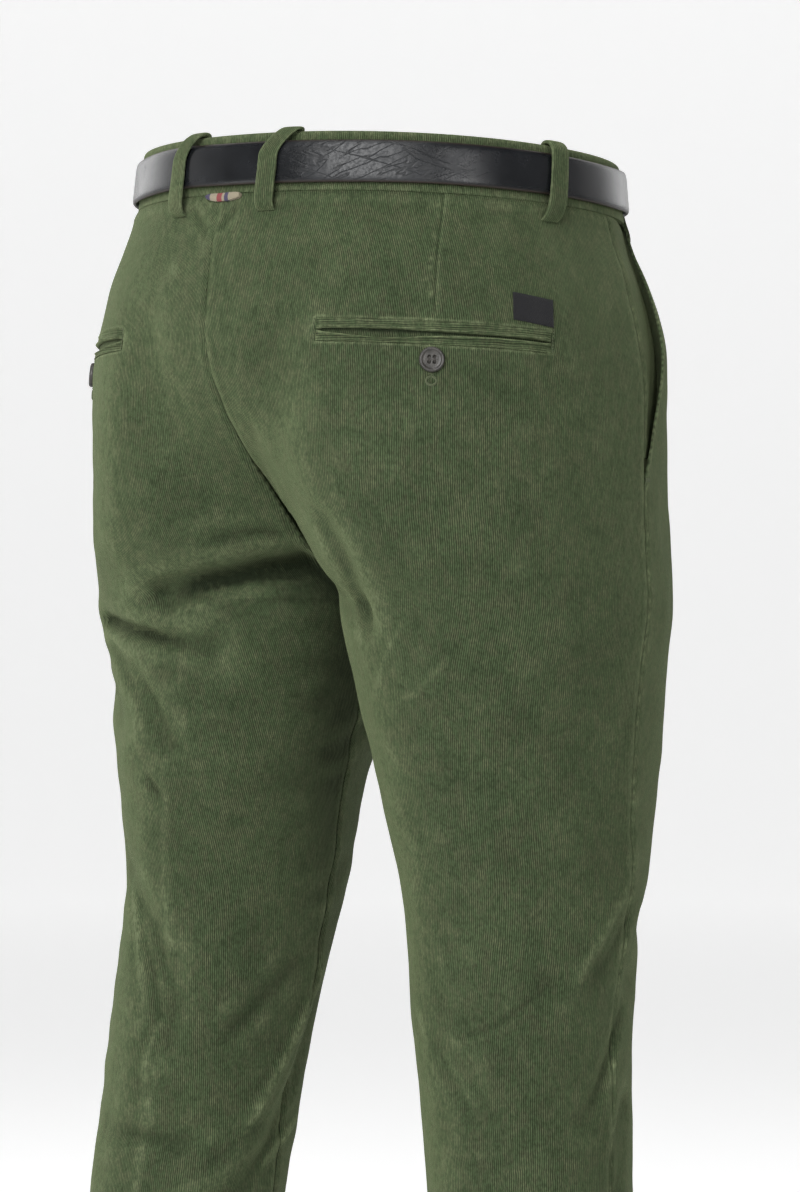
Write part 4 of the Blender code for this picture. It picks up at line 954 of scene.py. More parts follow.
def corduroy(name, ridge, groove, worn, brown):
    """Needlecord: ribs along the grain, a mottled nap, worn places lighter, and painted shade in the groove
    colour where the wear field is below zero.
    """
    paint = Paint(name, 0.9, Specular_IOR_Level=0.10, Sheen_Weight=0.22, Sheen_Roughness=0.5)
    paint.shader.inputs["Sheen Tint"].default_value = (0.82, 0.98, 0.50, 1)
    grain = paint.field("grain").outputs["Vector"]
    parts = paint.node("SeparateXYZ", Vector=grain)
    wobble = paint.times(paint.math("SUBTRACT", paint.noise(0.009, 2), 0.5), 0.0011)
    across = paint.plus(parts.outputs[0], wobble)
    turn = paint.times(across, np.pi / WALE)
    rib = paint.math("POWER", paint.math("ABSOLUTE", paint.math("SINE", turn)), 1.1)
    tufts = paint.noise(0.0014, 1, 0.6, stretch=(1, 1, 1.8))
    strokes = paint.noise(0.0042, 3, 0.65, stretch=(1, 1, 1.5))
    nap = paint.noise(0.012, 3, 0.6)
    wide = paint.noise(0.034, 2, 0.6)
    shown = paint.span(strokes, 0.30, 0.60, 0.55, 1.0)
    hidden = paint.times(paint.math("SUBTRACT", 1.0, shown), 0.55)
    soft = paint.plus(paint.times(rib, shown), hidden)

    green = paint.mix(soft, groove, ridge)
    earthy = paint.mix(soft, groove, brown)
    patches = paint.plus(paint.times(strokes, 0.6), paint.times(nap, 0.4))
    tone = paint.mix(paint.span(patches, 0.45, 0.57, 0.0, 0.8), green, earthy)
    tone = paint.mix(paint.span(wide, 0.42, 0.66, 0.0, 0.12), tone, earthy)
    wear = paint.field("wear").outputs["Fac"]
    tufted = paint.span(strokes, 0.30, 0.62, 0.35, 1.0)
    tone = paint.mix(paint.times(paint.span(wear, 0.10, 1.1, 0.0, 0.75), tufted), tone, worn)
    # painted shade: where the field is below zero, the cloth turns towards its groove colour
    tone = paint.mix(paint.span(wear, -0.12, -1.4, 0.0, 0.94), tone, groove)
    speck = 1.0
    for noise, swing in ((tufts, 0.28), (strokes, 0.16), (nap, 0.14), (wide, 0.14)):
        speck = paint.times(speck, paint.span(noise, 0.3, 0.7, 1 - swing, 1 + swing))
    paint.colour(paint.mix(1.0, tone, paint.grey(speck), "MULTIPLY"))
    height = paint.plus(soft, paint.times(tufts, 0.4))
    first = paint.bump(height, 0.00035, 0.9)
    paint.bump(paint.plus(strokes, nap), 0.0005, 0.5, before=first)
    return paint.material


def leather(name):
    """Black belt leather: a fine grain, scuffed and wrinkled where the field wrinkle is high."""
    paint = Paint(name, 0.3, Specular_IOR_Level=0.38)
    cells = paint.node("TexVoronoi", {"feature": "DISTANCE_TO_EDGE"}, Vector=paint.place, Scale=1 / 0.0009)
    grain = paint.span(cells.outputs["Distance"], 0, 0.25)
    smears = paint.noise(0.022, 3, 0.6)
    worn = paint.field("wrinkle").outputs["Fac"]
    lines = paint.noise(0.016, 3, 0.65)
    length = paint.field("grain").outputs["Vector"]

    def cracks(turn, size):
        turned = paint.node("Mapping", Vector=length, Rotation=(0, 0, turn)).outputs[0]
        made = paint.noise(size, 2, 0.6, stretch=(6, 1, 1), place=turned)
        return paint.span(paint.math("ABSOLUTE", paint.math("SUBTRACT", made, 0.5)), 0.0, 0.024, 1.0, 0.0)

    cracked = paint.math("MAXIMUM", cracks(0.42, 0.0085), cracks(-0.30, 0.0125))
    cracked = paint.times(cracked, worn)
    edge = paint.field("edge").outputs["Fac"]
    tone = paint.mix(paint.span(smears, 0.35, 0.7), (0.0045, 0.0050, 0.0060), (0.010, 0.011, 0.013))
    tone = paint.mix(paint.times(worn, 0.6), tone, (0.020, 0.022, 0.024))
    tone = paint.mix(paint.times(cracked, 0.5), tone, (0.002, 0.002, 0.002))
    tone = paint.mix(paint.span(edge, 0.3, 0.9), tone, (0.024, 0.016, 0.011))
    paint.colour(tone)
    rough = paint.plus(paint.span(smears, 0.3, 0.72, 0.17, 0.28), paint.times(worn, 0.08))
    speckle = paint.times(paint.span(paint.noise(0.0016, 2, 0.6), 0.42, 0.66, 0.0, 0.24), worn)
    rough = paint.plus(rough, speckle)
    rough = paint.plus(rough, paint.times(cracked, 0.15))
    paint.roughness(paint.plus(rough, paint.times(edge, 0.25)))
    first = paint.bump(grain, 0.00003, 0.6)
    second = paint.bump(paint.math("SUBTRACT", 1.0, cracked), 0.0002, 1.0, before=first)
    wrinkles = paint.times(lines, paint.span(worn, 0.05, 1, 0.05, 1.0))
    paint.bump(wrinkles, 0.0016, 0.6, before=second)
    return paint.material


def metal(name, colour, roughness=0.3):
    paint = Paint(name, roughness, Metallic=1.0)
    scratches = paint.noise(0.0015, 3, 0.7, stretch=(8, 1, 1))
    smears = paint.noise(0.008, 2)
    paint.colour(paint.mix(smears, colour, tuple(value * 0.75 for value in colour)))
    paint.roughness(paint.span(scratches, 0.3, 0.7, roughness * 0.8, roughness * 1.4))
    paint.bump(scratches, 0.00003, 0.5)
    return paint.material


def horn(name):
    paint = Paint(name, 0.38, Specular_IOR_Level=0.5)
    streaks = paint.noise(0.004, 4, 0.65, stretch=(1, 1, 3))
    paint.colour(paint.mix(paint.span(streaks, 0.35, 0.65), (0.015, 0.014, 0.012), (0.054, 0.050, 0.044)))
    paint.bump(streaks, 0.00005, 0.4)
    return paint.material


def thread(name, colour):
    paint = Paint(name, 0.7, Specular_IOR_Level=0.25, Sheen_Weight=0.2)
    twist = paint.noise(0.0004, 1)
    paint.colour(paint.mix(paint.span(twist, 0.3, 0.7), tuple(value * 0.7 for value in colour), colour))
    paint.bump(twist, 0.00008, 0.6)
    return paint.material


def woven(name, colour, pale):
    """A close plain weave, in the piece's own weave coordinates."""
    paint = Paint(name, 0.75, Specular_IOR_Level=0.2, Sheen_Weight=0.1)
    parts = paint.node("SeparateXYZ", Vector=paint.field("grain").outputs["Vector"])
    pitch = 0.00035
    warp = paint.math("SINE", paint.times(parts.outputs[0], 2 * np.pi / pitch))
    weft = paint.math("SINE", paint.times(parts.outputs[1], 2 * np.pi / pitch))
    weave = paint.times(warp, weft)
    paint.colour(paint.mix(paint.span(weave, -1, 1), colour, pale))
    paint.bump(weave, 0.0001, 0.6)
    return paint.material


def striped(name, bands, across):
    """A ribbon in plain stripes: rows of (from, colour) along its length, as shares."""
    paint = Paint(name, 0.7, Specular_IOR_Level=0.25, Sheen_Weight=0.1)
    parts = paint.node("SeparateXYZ", Vector=paint.field("grain").outputs["Vector"])
    ramp = paint.node("ValToRGB", Fac=paint.span(parts.outputs[0], *across))
    ramp.color_ramp.interpolation = "CONSTANT"
    stops = ramp.color_ramp.elements
    while len(stops) < len(bands):
        stops.new(0.5)
    for stop, (start, colour) in zip(stops, bands):
        stop.position = start
        stop.color = (*colour, 1)
    ribs = paint.math("SINE", paint.times(parts.outputs[0], 2 * np.pi / 0.0004))
    shade = paint.span(ribs, -1, 1, 0.7, 1.0)
    paint.colour(paint.mix(1.0, ramp.outputs[0], paint.grey(shade), "MULTIPLY"))
    paint.bump(ribs, 0.00008, 0.6)
    return paint.material


# ---------------------------------------------------------------- cloth pieces
def panel_rows(last=-LENGTH):
    """Heights of a panel's rows, closer together above the knees and where the halves meet."""
    upper = np.linspace(PANEL_TOP, FINE_ENDS, DIVISIONS.upper + 1)
    lower = np.linspace(FINE_ENDS, -LENGTH, DIVISIONS.lower + 1)[1:]
    rows = np.concatenate([upper, lower])
    saddle = CROTCH + np.array(SADDLE_ROWS)
    rows = rows[(rows > saddle.max() + 0.001) | (rows < saddle.min() - 0.001)]
    rows = np.sort(np.concatenate([rows, saddle]))[::-1]
    return rows[rows >= last - 1e-9]


def spread(columns):
    """Shares across a panel, closer together at its edges."""
    t = np.linspace(0, 1, columns + 1)
    return t - 0.5 * np.sin(2 * np.pi * t) / (2 * np.pi)


def between(first, last, z, columns):
    """Places and heights of a grid between two edges."""
    first, last, z = (np.asarray(values, float)[:, None] for values in (first, last, z))
    u = first + (last - first) * spread(columns)
    return u, np.broadcast_to(z, u.shape)


def mouth_forward(z):
    """How far the pocket's mouth lies in front of the side seam at height z."""
    return MOUTH_FORWARD * np.clip((z - MOUTH_END) / (PANEL_TOP - MOUTH_END), 0, 1)


def dart_columns(side, first, last, rows):
    """Places across a back panel, closer together at its edges and at the dart, which they follow."""
    at = (place_at(side, 0.0, rows, dart_line(rows)) - first) / (last - first)
    usual = at[rows > DART_END].mean()
    at = at + (usual - at) * soft_step((DART_END - 0.02 - rows) / 0.10)
    beside = np.array(DART_BESIDE) / DART_PANEL
    t = np.sort(np.concatenate([spread(DIVISIONS.back), usual - beside, [usual], usual + beside]))
    at = at[:, None]
    warped = np.where(t < usual, t * at / usual, 1 - (1 - t) * (1 - at) / (1 - usual))
    return first[:, None] + (last - first)[:, None] * warped


def make_back(side, material):
    pocket = np.arange(POCKET_HEIGHTS[0] + 0.0100, POCKET_HEIGHTS[1] - 0.0100, -0.0008)
    rows = np.sort(np.concatenate([panel_rows(), pocket]))[::-1]
    first = np.array([moved(side, 0, z, SEAM_GAP / 2) if z < CROTCH else 0 for z in rows])
    last = np.array([moved(side, 0.5, z, -SEAM_GAP / 2) for z in rows])
    u = dart_columns(side, first, last, rows)
    z = np.broadcast_to(rows[:, None], u.shape)
    made = panel(f"back_{side}_cloth", side, "back", u, z, np.zeros(u.shape), material)
    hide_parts(f"back_{side}")


def make_front(side, material):
    rows = panel_rows()
    first = [moved(side, 0.5, z, SEAM_GAP / 2 + mouth_forward(z)) for z in rows]
    last = [moved(side, 1, z, -SEAM_GAP / 2) if z < CROTCH else 1 for z in rows]
    u, z = between(first, last, rows, DIVISIONS.front)
    gape = MOUTH_GAPE * np.sin(np.pi * np.clip((z - PANEL_TOP) / (MOUTH_END - PANEL_TOP), 0, 1)) ** 2
    across = from_side_seam(side, u, z)
    lifts = gape * (1 - soft_step((across - across[:, :1]) / GAPE_FADES))
    mouth = (z > MOUTH_END) * (0.7 + 0.3 * np.sin(z * 1900 + 3 * np.sin(z * 400)))
    shade = 1.6 * mouth * bell(across - across[:, :1] - 0.0008, 0.0012)
    made = panel(f"front_{side}_cloth", side, "front", u, z, lifts, material, shade)
    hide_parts(f"front_{side}")


def make_facing(side, material):
    """The strip of cloth in the pocket's mouth: flush with the side seam, then in behind the front, where it
    is painted darker, as shade.
    """
    rows = panel_rows(last=FACING_END)
    shares = np.linspace(0, 1, 25)
    z = np.broadcast_to(rows[:, None], (len(rows), len(shares)))
    width = mouth_forward(z) + FACING_UNDER
    u = place_at(side, 0.5, z, SEAM_GAP / 2 + shares * width)
    drops = -FACING_DROP * soft_step(shares * width / mouth_forward(z))
    # painted shade on the part that goes in behind the front
    hidden = soft_step((shares * width - mouth_forward(z) + 0.0050) / 0.0045)
    made = panel(f"pocket_facing_{side}_cloth", side, "front", u, z, drops, material, -1.5 * hidden)
    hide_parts(f"pocket_facing_{side}")


def make_band(side, material):
    """Half the waistband, its top edge folded over."""
    roll = np.array([0.0, 0.0003, 0.0008, 0.0016])
    rows = -TOP_SINKS - np.concatenate([roll, np.linspace(0.003, BAND_HEIGHT - TOP_SINKS - 0.001, 12)])
    rows = np.concatenate([rows, [-BAND_HEIGHT]])
    u, z = np.meshgrid(np.linspace(0, 1, 221), rows)
    sunk = np.interp(-TOP_SINKS - z, roll, [0.0013, 0.0006, 0.0002, 0.0])
    if side == "right":
        u = u[:, ::-1]
    points, normal, _, _ = laid(side, u, z)
    outside = shifted(side, points, normal, -sunk)
    inside = shifted(side, points, normal, sunk - BAND_WALL)
    grain = in_cloth(from_side_seam(side, u, z), z)
    wear = bell(z + TOP_SINKS + 0.0012, 0.0015) * 0.5 + 0.15
    wear += 0.5 * bell(z + BAND_HEIGHT - 0.0014, 0.0009)
    fields = {"grain": (grain, grain), "wear": (wear, wear * 0)}
    made = wall(f"waistband_{side}_cloth", outside, inside, material, **fields)
    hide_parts(f"waistband_{side}")


def make_welt(side, name, way, material):
    """A welt on one side of the slit: a narrow fold of cloth, rolled at its lip."""
    shares = np.linspace(0, 1, 17) if way < 0 else np.linspace(1, 0, 17)
    along = np.linspace(POCKET_INNER, POCKET_OUTER, 141)
    share, along = np.meshgrid(shares, along, indexing="ij")
    length = (along - POCKET_INNER) / (POCKET_OUTER - POCKET_INNER)
    ends = soft_step(length / 0.04) * soft_step((1 - length) / 0.04)
    gapes = bell(length - 0.28, 0.20) * (1.0 if way < 0 else 0.25)
    gape = 0.0002 + ends * (0.0003 + 0.0030 * gapes)
    lip = way * (SLIT / 2 - 0.0007 + gape)
    outer = way * (SLIT / 2 + WELT_HEIGHT)
    z = pocket_line(along) + lip + (outer - lip) * share
    u = place_at(side, 0.0, z, along)
    roll = bell(share - 0.22, 0.22)
    second = bell(share - 0.66, 0.12)
    crown = 0.30 + (0.75 + 0.12 * np.sin(along * 210 + way)) * roll + 0.16 * second
    crown *= (1 - 0.75 * np.clip(1 - share / 0.08, 0, 1) ** 2) * (0.30 + 0.70 * ends)
    if side == "right":
        u, z, crown, share, along = (grid[:, ::-1] for grid in (u, z, crown, share, along))
    points, normal, _, _ = laid(side, u, z)
    outside = shifted(side, points, normal, 0.0004 + 0.0022 * crown)
    inside = shifted(side, points, normal, np.full(z.shape, 0.0002))
    grain = in_cloth(z, along)
    uneven = 0.7 + 0.3 * np.sin(along * 330 + 2 * np.sin(along * 120) + way)
    # the lips and rolls are worn lighter; the hollow between the rolls and the whole inner face get painted
    # shade
    wear = 1.5 * uneven * bell(share - 0.12, 0.09) + uneven * bell(share - 0.92, 0.09)
    wear += 0.6 * uneven * bell(share - 0.66, 0.10) - 0.35 * bell(share - 0.44, 0.1)
    fields = {"grain": (grain, grain), "wear": (wear, wear * 0 - 1)}
    made = wall(f"pocket_welt_{name}_{side}_cloth", outside, inside, material, **fields)
    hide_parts(f"pocket_welt_{name}_{side}")


def smooth_path(stops, count):
    """A Catmull-Rom curve through stops, in count points an even length apart."""
    stops = np.asarray(stops, float)
    ends = np.concatenate([[2 * stops[0] - stops[1]], stops, [2 * stops[-1] - stops[-2]]])
    points = []
    for a, b, c, d in zip(ends, ends[1:], ends[2:], ends[3:]):
        for t in np.linspace(0, 1, 12, endpoint=False):
            square, cube = 2 * a - 5 * b + 4 * c - d, 3 * b - 3 * c + d - a
            points.append(0.5 * (2 * b + (c - a) * t + square * t**2 + cube * t**3))
    points = np.array(points + [stops[-1]])
    lengths = np.concatenate([[0], np.cumsum(np.linalg.norm(np.diff(points, axis=0), axis=1))])
    even = np.linspace(0, lengths[-1], count)
    return np.stack([np.interp(even, lengths, points[:, k]) for k in range(points.shape[1])], 1)


def pillow(width, thickness, sides):
    """A flat rounded section: across and away, going round."""
    turn = 2 * np.pi * (np.arange(sides) + 0.5) / sides
    across = width / 2 * np.sign(np.cos(turn)) * np.abs(np.cos(turn)) ** 0.45
    away = thickness / 2 * np.sign(np.sin(turn)) * np.abs(np.sin(turn)) ** 0.75
    return across, away


def strip_round(name, path, thickness, width, place, material, count, swell=None):
    """A soft strip bent along a path of (out, z); place(z, across, out) gives its points."""
    route = smooth_path([(step.out, step.z) for step in path], count)
    ahead = np.gradient(route, axis=0)
    ahead /= np.linalg.norm(ahead, axis=1, keepdims=True)
    aside = np.stack([-ahead[:, 1], ahead[:, 0]], 1)
    sides = 18
    across, away = pillow(width, thickness, sides)
    stretch = np.ones(count) if swell is None else swell(np.linspace(0, 1, count))
    out = route[:, :1] + aside[:, :1] * away * stretch[:, None]
    z = route[:, 1:] + aside[:, 1:] * away * stretch[:, None]
    points = place(z, np.broadcast_to(across, z.shape), out)
    along = np.linspace(0, 1, count)[:, None] * np.ones(sides)
    grain = in_cloth(across, along)
    edge = np.broadcast_to(np.abs(across) / (width / 2), z.shape) ** 4
    fields = {"grain": grain, "wear": edge * 0.9, "edge": edge, "wrinkle": edge * 0}
    return piece(name, points, ring_faces(count, sides), material, 60, **fields)


def make_loop(loop, material):
    """A soft folded strip: slanted where it comes over the band's edge, tucked in at its lower end."""
    sign = SIDES[loop.side]
    path = [Step(step.out, step.z - TOP_SINKS) for step in LOOP_TOP] + LOOP_TAIL

    def place(z, across, out):
        lean = loop.slant * soft_step((z + 0.019) / 0.021) ** 1.2
        return from_back(z, sign * loop.along + lean + across, out, fine=False)

    def swell(t):
        return 1 + 0.25 * np.sin(9 * t + loop.along * 200)

    name = f"belt_loop_{loop.name}_{loop.side}"
    made = strip_round(f"{name}_cloth", path, LOOP_WALL, LOOP_WIDTH, place, material, 72, swell=swell)
    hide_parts(name)


def make_label(material):
    """The label lies flat on the panel, tilted, with its edges turned down."""
    columns = LABEL_ALONG[0] + np.linspace(0, 1, 41) * np.ptp(LABEL_ALONG)
    z, along = np.meshgrid(np.linspace(*LABEL_HEIGHTS, 25), columns, indexing="ij")
    sideways = np.minimum(along - LABEL_ALONG[0], LABEL_ALONG[1] - along)
    edge = np.minimum(sideways, np.minimum(LABEL_HEIGHTS[0] - z, z - LABEL_HEIGHTS[1]))
    tilted = along + (LABEL_HEIGHTS[0] - z) * LABEL_TILT
    z = z - LABEL_DROOP * (along - LABEL_ALONG[0]) / np.ptp(LABEL_ALONG)
    along = tilted
    lift = GAP + LABEL_WALL * (0.75 + 0.25 * soft_step(edge / 0.0015)) + 0.0002 * np.sin(along * 300)
    z, along, lift = z[:, ::-1], along[:, ::-1], lift[:, ::-1]
    outside = from_back(z, -along, lift)
    inside = from_back(z, -along, GAP)
    grain = in_cloth(along, z)
    made = wall("label_cloth", outside, inside, material, grain=(grain, grain))
    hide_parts("label")


def make_ribbon(material):
    """The ribbon's fold, which narrows to both ends where it is sewn in."""
    share, along = np.meshgrid(np.linspace(0, 1, 13), np.linspace(*RIBBON_ALONG, 41), indexing="ij")
    t = 2 * (along - RIBBON_ALONG[0]) / np.ptp(RIBBON_ALONG) - 1
    narrow = 0.30 + 0.70 * np.sqrt(1 - np.abs(t) ** 2.4)
    middle = RIBBON_MIDDLE - RIBBON_SAGS * (1 - t**2)
    z = middle + RIBBON_HEIGHT * narrow * (0.5 - share)
    bend = 0.0007 * np.sin(np.pi * share) + 0.0003 * np.sin((along - RIBBON_ALONG[0]) * 260)
    outside = from_back(z, along, RIBBON_STANDS_OFF + RIBBON_WALL + bend, fine=False)
    inside = from_back(z, along, GAP, fine=False)
    grain = in_cloth(along, z)
    made = wall("ribbon_tab_cloth", outside, inside, material, grain=(grain, grain))
    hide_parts("ribbon_tab")


# ---------------------------------------------------------------- the belt
def round_waist(z, clockwise, out):
    """Points on the waist by their clockwise length from centre front, seen from above."""
    half = from_side_seam("left", np.ones(np.shape(z)), z) - from_side_seam("left", np.zeros(np.shape(z)), z)
    along = np.where(clockwise > 0, clockwise - half, clockwise + half)
    return from_back(z, along, out, fine=False)


def belt_lift(clockwise):
    """How far the strap stands out beyond its place next to the waistband."""
    return LAP_LIFT * soft_step((LIFT_STARTS - clockwise) / (LIFT_STARTS + LIFT_ENDS))


def make_strap(material):
    top, bottom = BELT_HEIGHTS
    half = row_lengths("left", BELT_MIDDLE)[1][-1]  # of the way round the waist
    start, end = -BELT_LAP, 2 * half - BELT_FOLD
    count, sides = 460, 26
    along = np.linspace(start, end, count)[:, None]
    across, away = pillow(top - bottom, BELT_WALL, sides)
    tip = np.clip((along - start) / 0.016, 0, 1)
    narrow = np.sqrt(1 - (1 - tip) ** 2.4) * 0.94 + 0.06
    wave = 0.00030 * ripple(along * np.array([1.0, 0.0, 0.0]), 0.09, 5)[:, None]
    from_buckle = np.minimum(np.abs(along), 2 * half - along)
    sag = BELT_SAGS * soft_step((from_buckle - SAG_STARTS) / 0.10)
    z = BELT_MIDDLE + across * narrow + wave - sag
    out = BELT_STANDS_OFF + BELT_WALL / 2 + belt_lift(along) + away * (0.5 + 0.5 * tip)
    points = round_waist(z, np.broadcast_to(along, z.shape), out)
    edge = np.broadcast_to(np.abs(across) / np.abs(across).max(), z.shape) ** 10
    wrinkle = np.broadcast_to(bell(along - (half - WRINKLED_AT), WRINKLED_WIDTH) + 0.04, z.shape)
    fields = {"edge": edge, "wrinkle": wrinkle, "grain": in_cloth(along, z)}
    made = piece("belt_strap_leather", points, ring_faces(count, sides), material, 60, **fields)
    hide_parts("belt_strap")


def make_keeper(material):
    top, bottom = BELT_HEIGHTS
    clear = GAP + KEEPER_WALL / 2
    face = BELT_STANDS_OFF + BELT_WALL + LAP_LIFT + clear
    path = [
        Step(0.0010, top + clear),
        Step(face - 0.0008, top + clear),
        Step(face, top - 0.0006),
        Step(face, BELT_MIDDLE),
        Step(face, bottom + 0.0006),
        Step(face - 0.0008, bottom - clear),
        Step(0.0010, bottom - clear),
    ]

    def place(z, across, out):
        return from_front(z, KEEPER_ALONG - across, out, fine=False)

    made = strip_round("belt_keeper_leather", path, 0.0014, KEEPER_WIDTH, place, material, 60)
    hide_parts("belt_keeper")


def tube(name, route, radii, sides, closed, material):
    """A round bar along a route of points, with a radius at each."""
    route = np.asarray(route, float)
    count = len(route)
    ahead = np.roll(route, -1, 0) - np.roll(route, 1, 0) if closed else np.gradient(route, axis=0)
    ahead /= np.linalg.norm(ahead, axis=1, keepdims=True)
    aside = np.cross(ahead, np.array([0, 1, 0]))
    aside /= np.linalg.norm(aside, axis=1, keepdims=True)
    other = np.cross(ahead, aside)
    turn = 2 * np.pi * np.arange(sides) / sides
    ring = aside[:, None] * np.cos(turn)[:, None] + other[:, None] * np.sin(turn)[:, None]
    points = (route[:, None] + ring * np.asarray(radii)[:, None, None]).reshape(-1, 3)
    i, k = np.meshgrid(np.arange(count if closed else count - 1), np.arange(sides), indexing="ij")
    low, high, after = i * sides, (i + 1) % count * sides, (k + 1) % sides
    corners = [low + k, low + after, high + after, high + k]
    faces = [tuple(face) for face in np.stack(corners, -1).reshape(-1, 4)]
    if not closed:
        faces += [tuple(range(sides - 1, -1, -1)), tuple((count - 1) * sides + k for k in range(sides))]
    return piece(name, points, faces, material, 60)


def belt_front(axis, out=0.0):
    """A coordinate, by axis, of the place at the belt's middle at centre front."""
    return float(from_front(BELT_MIDDLE, 0.0, out, fine=False)[axis])


def make_buckle(material):
    middle = belt_front(2)
    left, right = BUCKLE_BARS
    route = []
    for number, (x, way) in enumerate([(left, -1), (left, 1), (right, 1), (right, -1)]):
        centre_x = x + BUCKLE_CORNER if x == left else x - BUCKLE_CORNER
        centre_z = way * (BUCKLE_HALF_HEIGHT - BUCKLE_CORNER)
        first = np.pi * 3 / 2 - np.pi / 2 * (number + 1) + np.pi / 2
        for turn in first - np.linspace(0, np.pi / 2, 10):
            across = centre_x + BUCKLE_CORNER * np.cos(turn)
            share = (across - left) / (right - left)
            depth = BUCKLE_DEPTHS[0] + (BUCKLE_DEPTHS[1] - BUCKLE_DEPTHS[0]) * share
            route.append((across, belt_front(1, depth), middle + centre_z + BUCKLE_CORNER * np.sin(turn)))
    made = tube("belt_buckle_metal", route, np.full(len(route), BAR_RADIUS), 20, True, material)
    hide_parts("belt_buckle")


def make_prong(material):
    middle = belt_front(2)
    over_bar = BUCKLE_DEPTHS[0] + BAR_RADIUS + GAP + PRONG_RADIUS
    at_hole = BELT_STANDS_OFF + BELT_WALL + LAP_LIFT + GAP * 2 + PRONG_RADIUS
    outer = BUCKLE_BARS[0]
    stations = [(0.004, at_hole), (-0.008, at_hole + 0.0004)]
    stations += [(outer + 0.004, over_bar), (outer - 0.003, over_bar)]
    route = smooth_path([(x, belt_front(1, depth), middle) for x, depth in stations], 30)
    radii = PRONG_RADIUS * (1 - 0.35 * np.linspace(0, 1, 30) ** 4)
    radii[[0, -1]] *= 0.6
    made = tube("belt_prong_metal", route, radii, 16, False, material)
    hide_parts("belt_prong")


# ---------------------------------------------------------------- buttons, stitches and the fly
def frame_at(centre, above, beside):
    """Columns across, up and out of a flat place on the cloth."""
    up = (above - centre) / np.linalg.norm(above - centre)
    across = (beside - centre) / np.linalg.norm(beside - centre)
    out = np.cross(across, up)
    out /= np.linalg.norm(out)
    return np.stack([across, np.cross(out, across), out], 1)


def button_frame(side):
    sign = SIDES[side]
    centre, above, beside = (
        from_back(z, sign * along, -BUTTON_SINKS, fine=False)
        for z, along in (
            (BUTTON_HEIGHT, BUTTON_ALONG),
            (BUTTON_HEIGHT + 0.003, BUTTON_ALONG),
            (BUTTON_HEIGHT, BUTTON_ALONG - sign * 0.003),
        )
    )
    return centre, frame_at(centre, above, beside)


def make_button(side, material, thread_material):
    """A turned button with a raised rim and four holes, and the thread through them."""
    centre, axes = button_frame(side)
    radii = np.concatenate([np.linspace(0.02, 1, 46), [1.0, 0.97]])
    profile = [(0, 0.70), (0.55, 0.70), (0.70, 0.76), (0.80, 0.98), (0.90, 1.0), (0.97, 0.86), (1.0, 0.55)]
    heights = np.interp(radii, *zip(*profile))
    heights[-2:] = [0.3, 0.12]
    sides = 72
    turn = 2 * np.pi * np.arange(sides) / sides
    x, y = radii[:, None] * np.cos(turn), radii[:, None] * np.sin(turn)
    height = np.broadcast_to(heights[:, None], x.shape).copy()
    for hx in (-BUTTON_HOLES, BUTTON_HOLES):
        for hy in (-BUTTON_HOLES, BUTTON_HOLES):
            height -= 0.42 * np.exp(-((np.hypot(x - hx, y - hy) / 0.115) ** 4))
    local = np.stack([x * BUTTON_RADIUS, y * BUTTON_RADIUS, height * BUTTON_WALL], -1)
    points = centre + local.reshape(-1, 3) @ axes.T
    made = piece(f"pocket_button_{side}_horn", points, ring_faces(len(radii), sides), material, 50)
    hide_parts(f"pocket_button_{side}")
    starts, ends = [], []
    for hx in (-BUTTON_HOLES, BUTTON_HOLES):
        for shift in (-0.035, 0.035):
            starts.append((hx + shift, -BUTTON_HOLES, 0.72))
            ends.append((hx + shift, BUTTON_HOLES, 0.72))
    scale = np.array([BUTTON_RADIUS, BUTTON_RADIUS, BUTTON_WALL])
    starts, ends = (centre + (np.array(p) * scale) @ axes.T for p in (starts, ends))
    normals = np.broadcast_to(axes[:, 2], starts.shape)
    beads(f"pocket_button_thread_{side}", starts, ends, normals, 0.00028, thread_material, arch=0.0003)


def beads(name, starts, ends, normals, radius, material, arch=0.0002):
    """Many stitches in one mesh, each an arched thread from a start to an end."""
    stations = sides = 6
    starts, ends, normals = (np.asarray(values, float) for values in (starts, ends, normals))
    t = np.linspace(0, 1, stations)[None, :, None]
    bow = np.sin(np.pi * t)
    centre = starts[:, None] * (1 - t) + ends[:, None] * t + normals[:, None] * (arch * bow - radius * 0.6)
    ahead = ends - starts
    ahead /= np.linalg.norm(ahead, axis=1, keepdims=True)
    aside = np.cross(ahead, normals)
    turn = 2 * np.pi * np.arange(sides) / sides
    thick = radius * (0.35 + 0.65 * bow**0.5)
    ring = aside[:, None, None] * np.cos(turn)[:, None] + normals[:, None, None] * np.sin(turn)[:, None]
    points = centre[:, :, None] + ring * thick[:, :, None]
    faces = []
    for first in range(0, len(starts) * stations * sides, stations * sides):
        faces += [tuple(first + corner for corner in face) for face in ring_faces(stations, sides)]
    return piece(name, points, faces, material, 60)


def stitched(points, normals, pitch, share):
    """Starts, ends and normals of stitches along a line of points."""
    steps = np.linalg.norm(np.diff(points, axis=0), axis=1)
    lengths = np.concatenate([[0], np.cumsum(steps)])
    at = np.arange(pitch / 2, lengths[-1] - pitch, pitch)

    def place(values, where):
        return np.stack([np.interp(where, lengths, values[:, k]) for k in range(3)], 1)

    return place(points, at), place(points, at + pitch * share), place(normals, at)


def on_cloth(side, u, z, out=0.0):
    """Points and outward normals on the fine cloth, in world coordinates."""
    points, normal, _, _ = laid(side, u, z)
    return shifted(side, points, normal, np.full(z.shape, out)), normal * np.array([SIDES[side], 1, 1])


def on_rows(side, start, z, distance, out=0.0):
    """The same at a distance along the rows from the place start."""
    return on_cloth(side, place_at(side, start, z, distance), z, out)


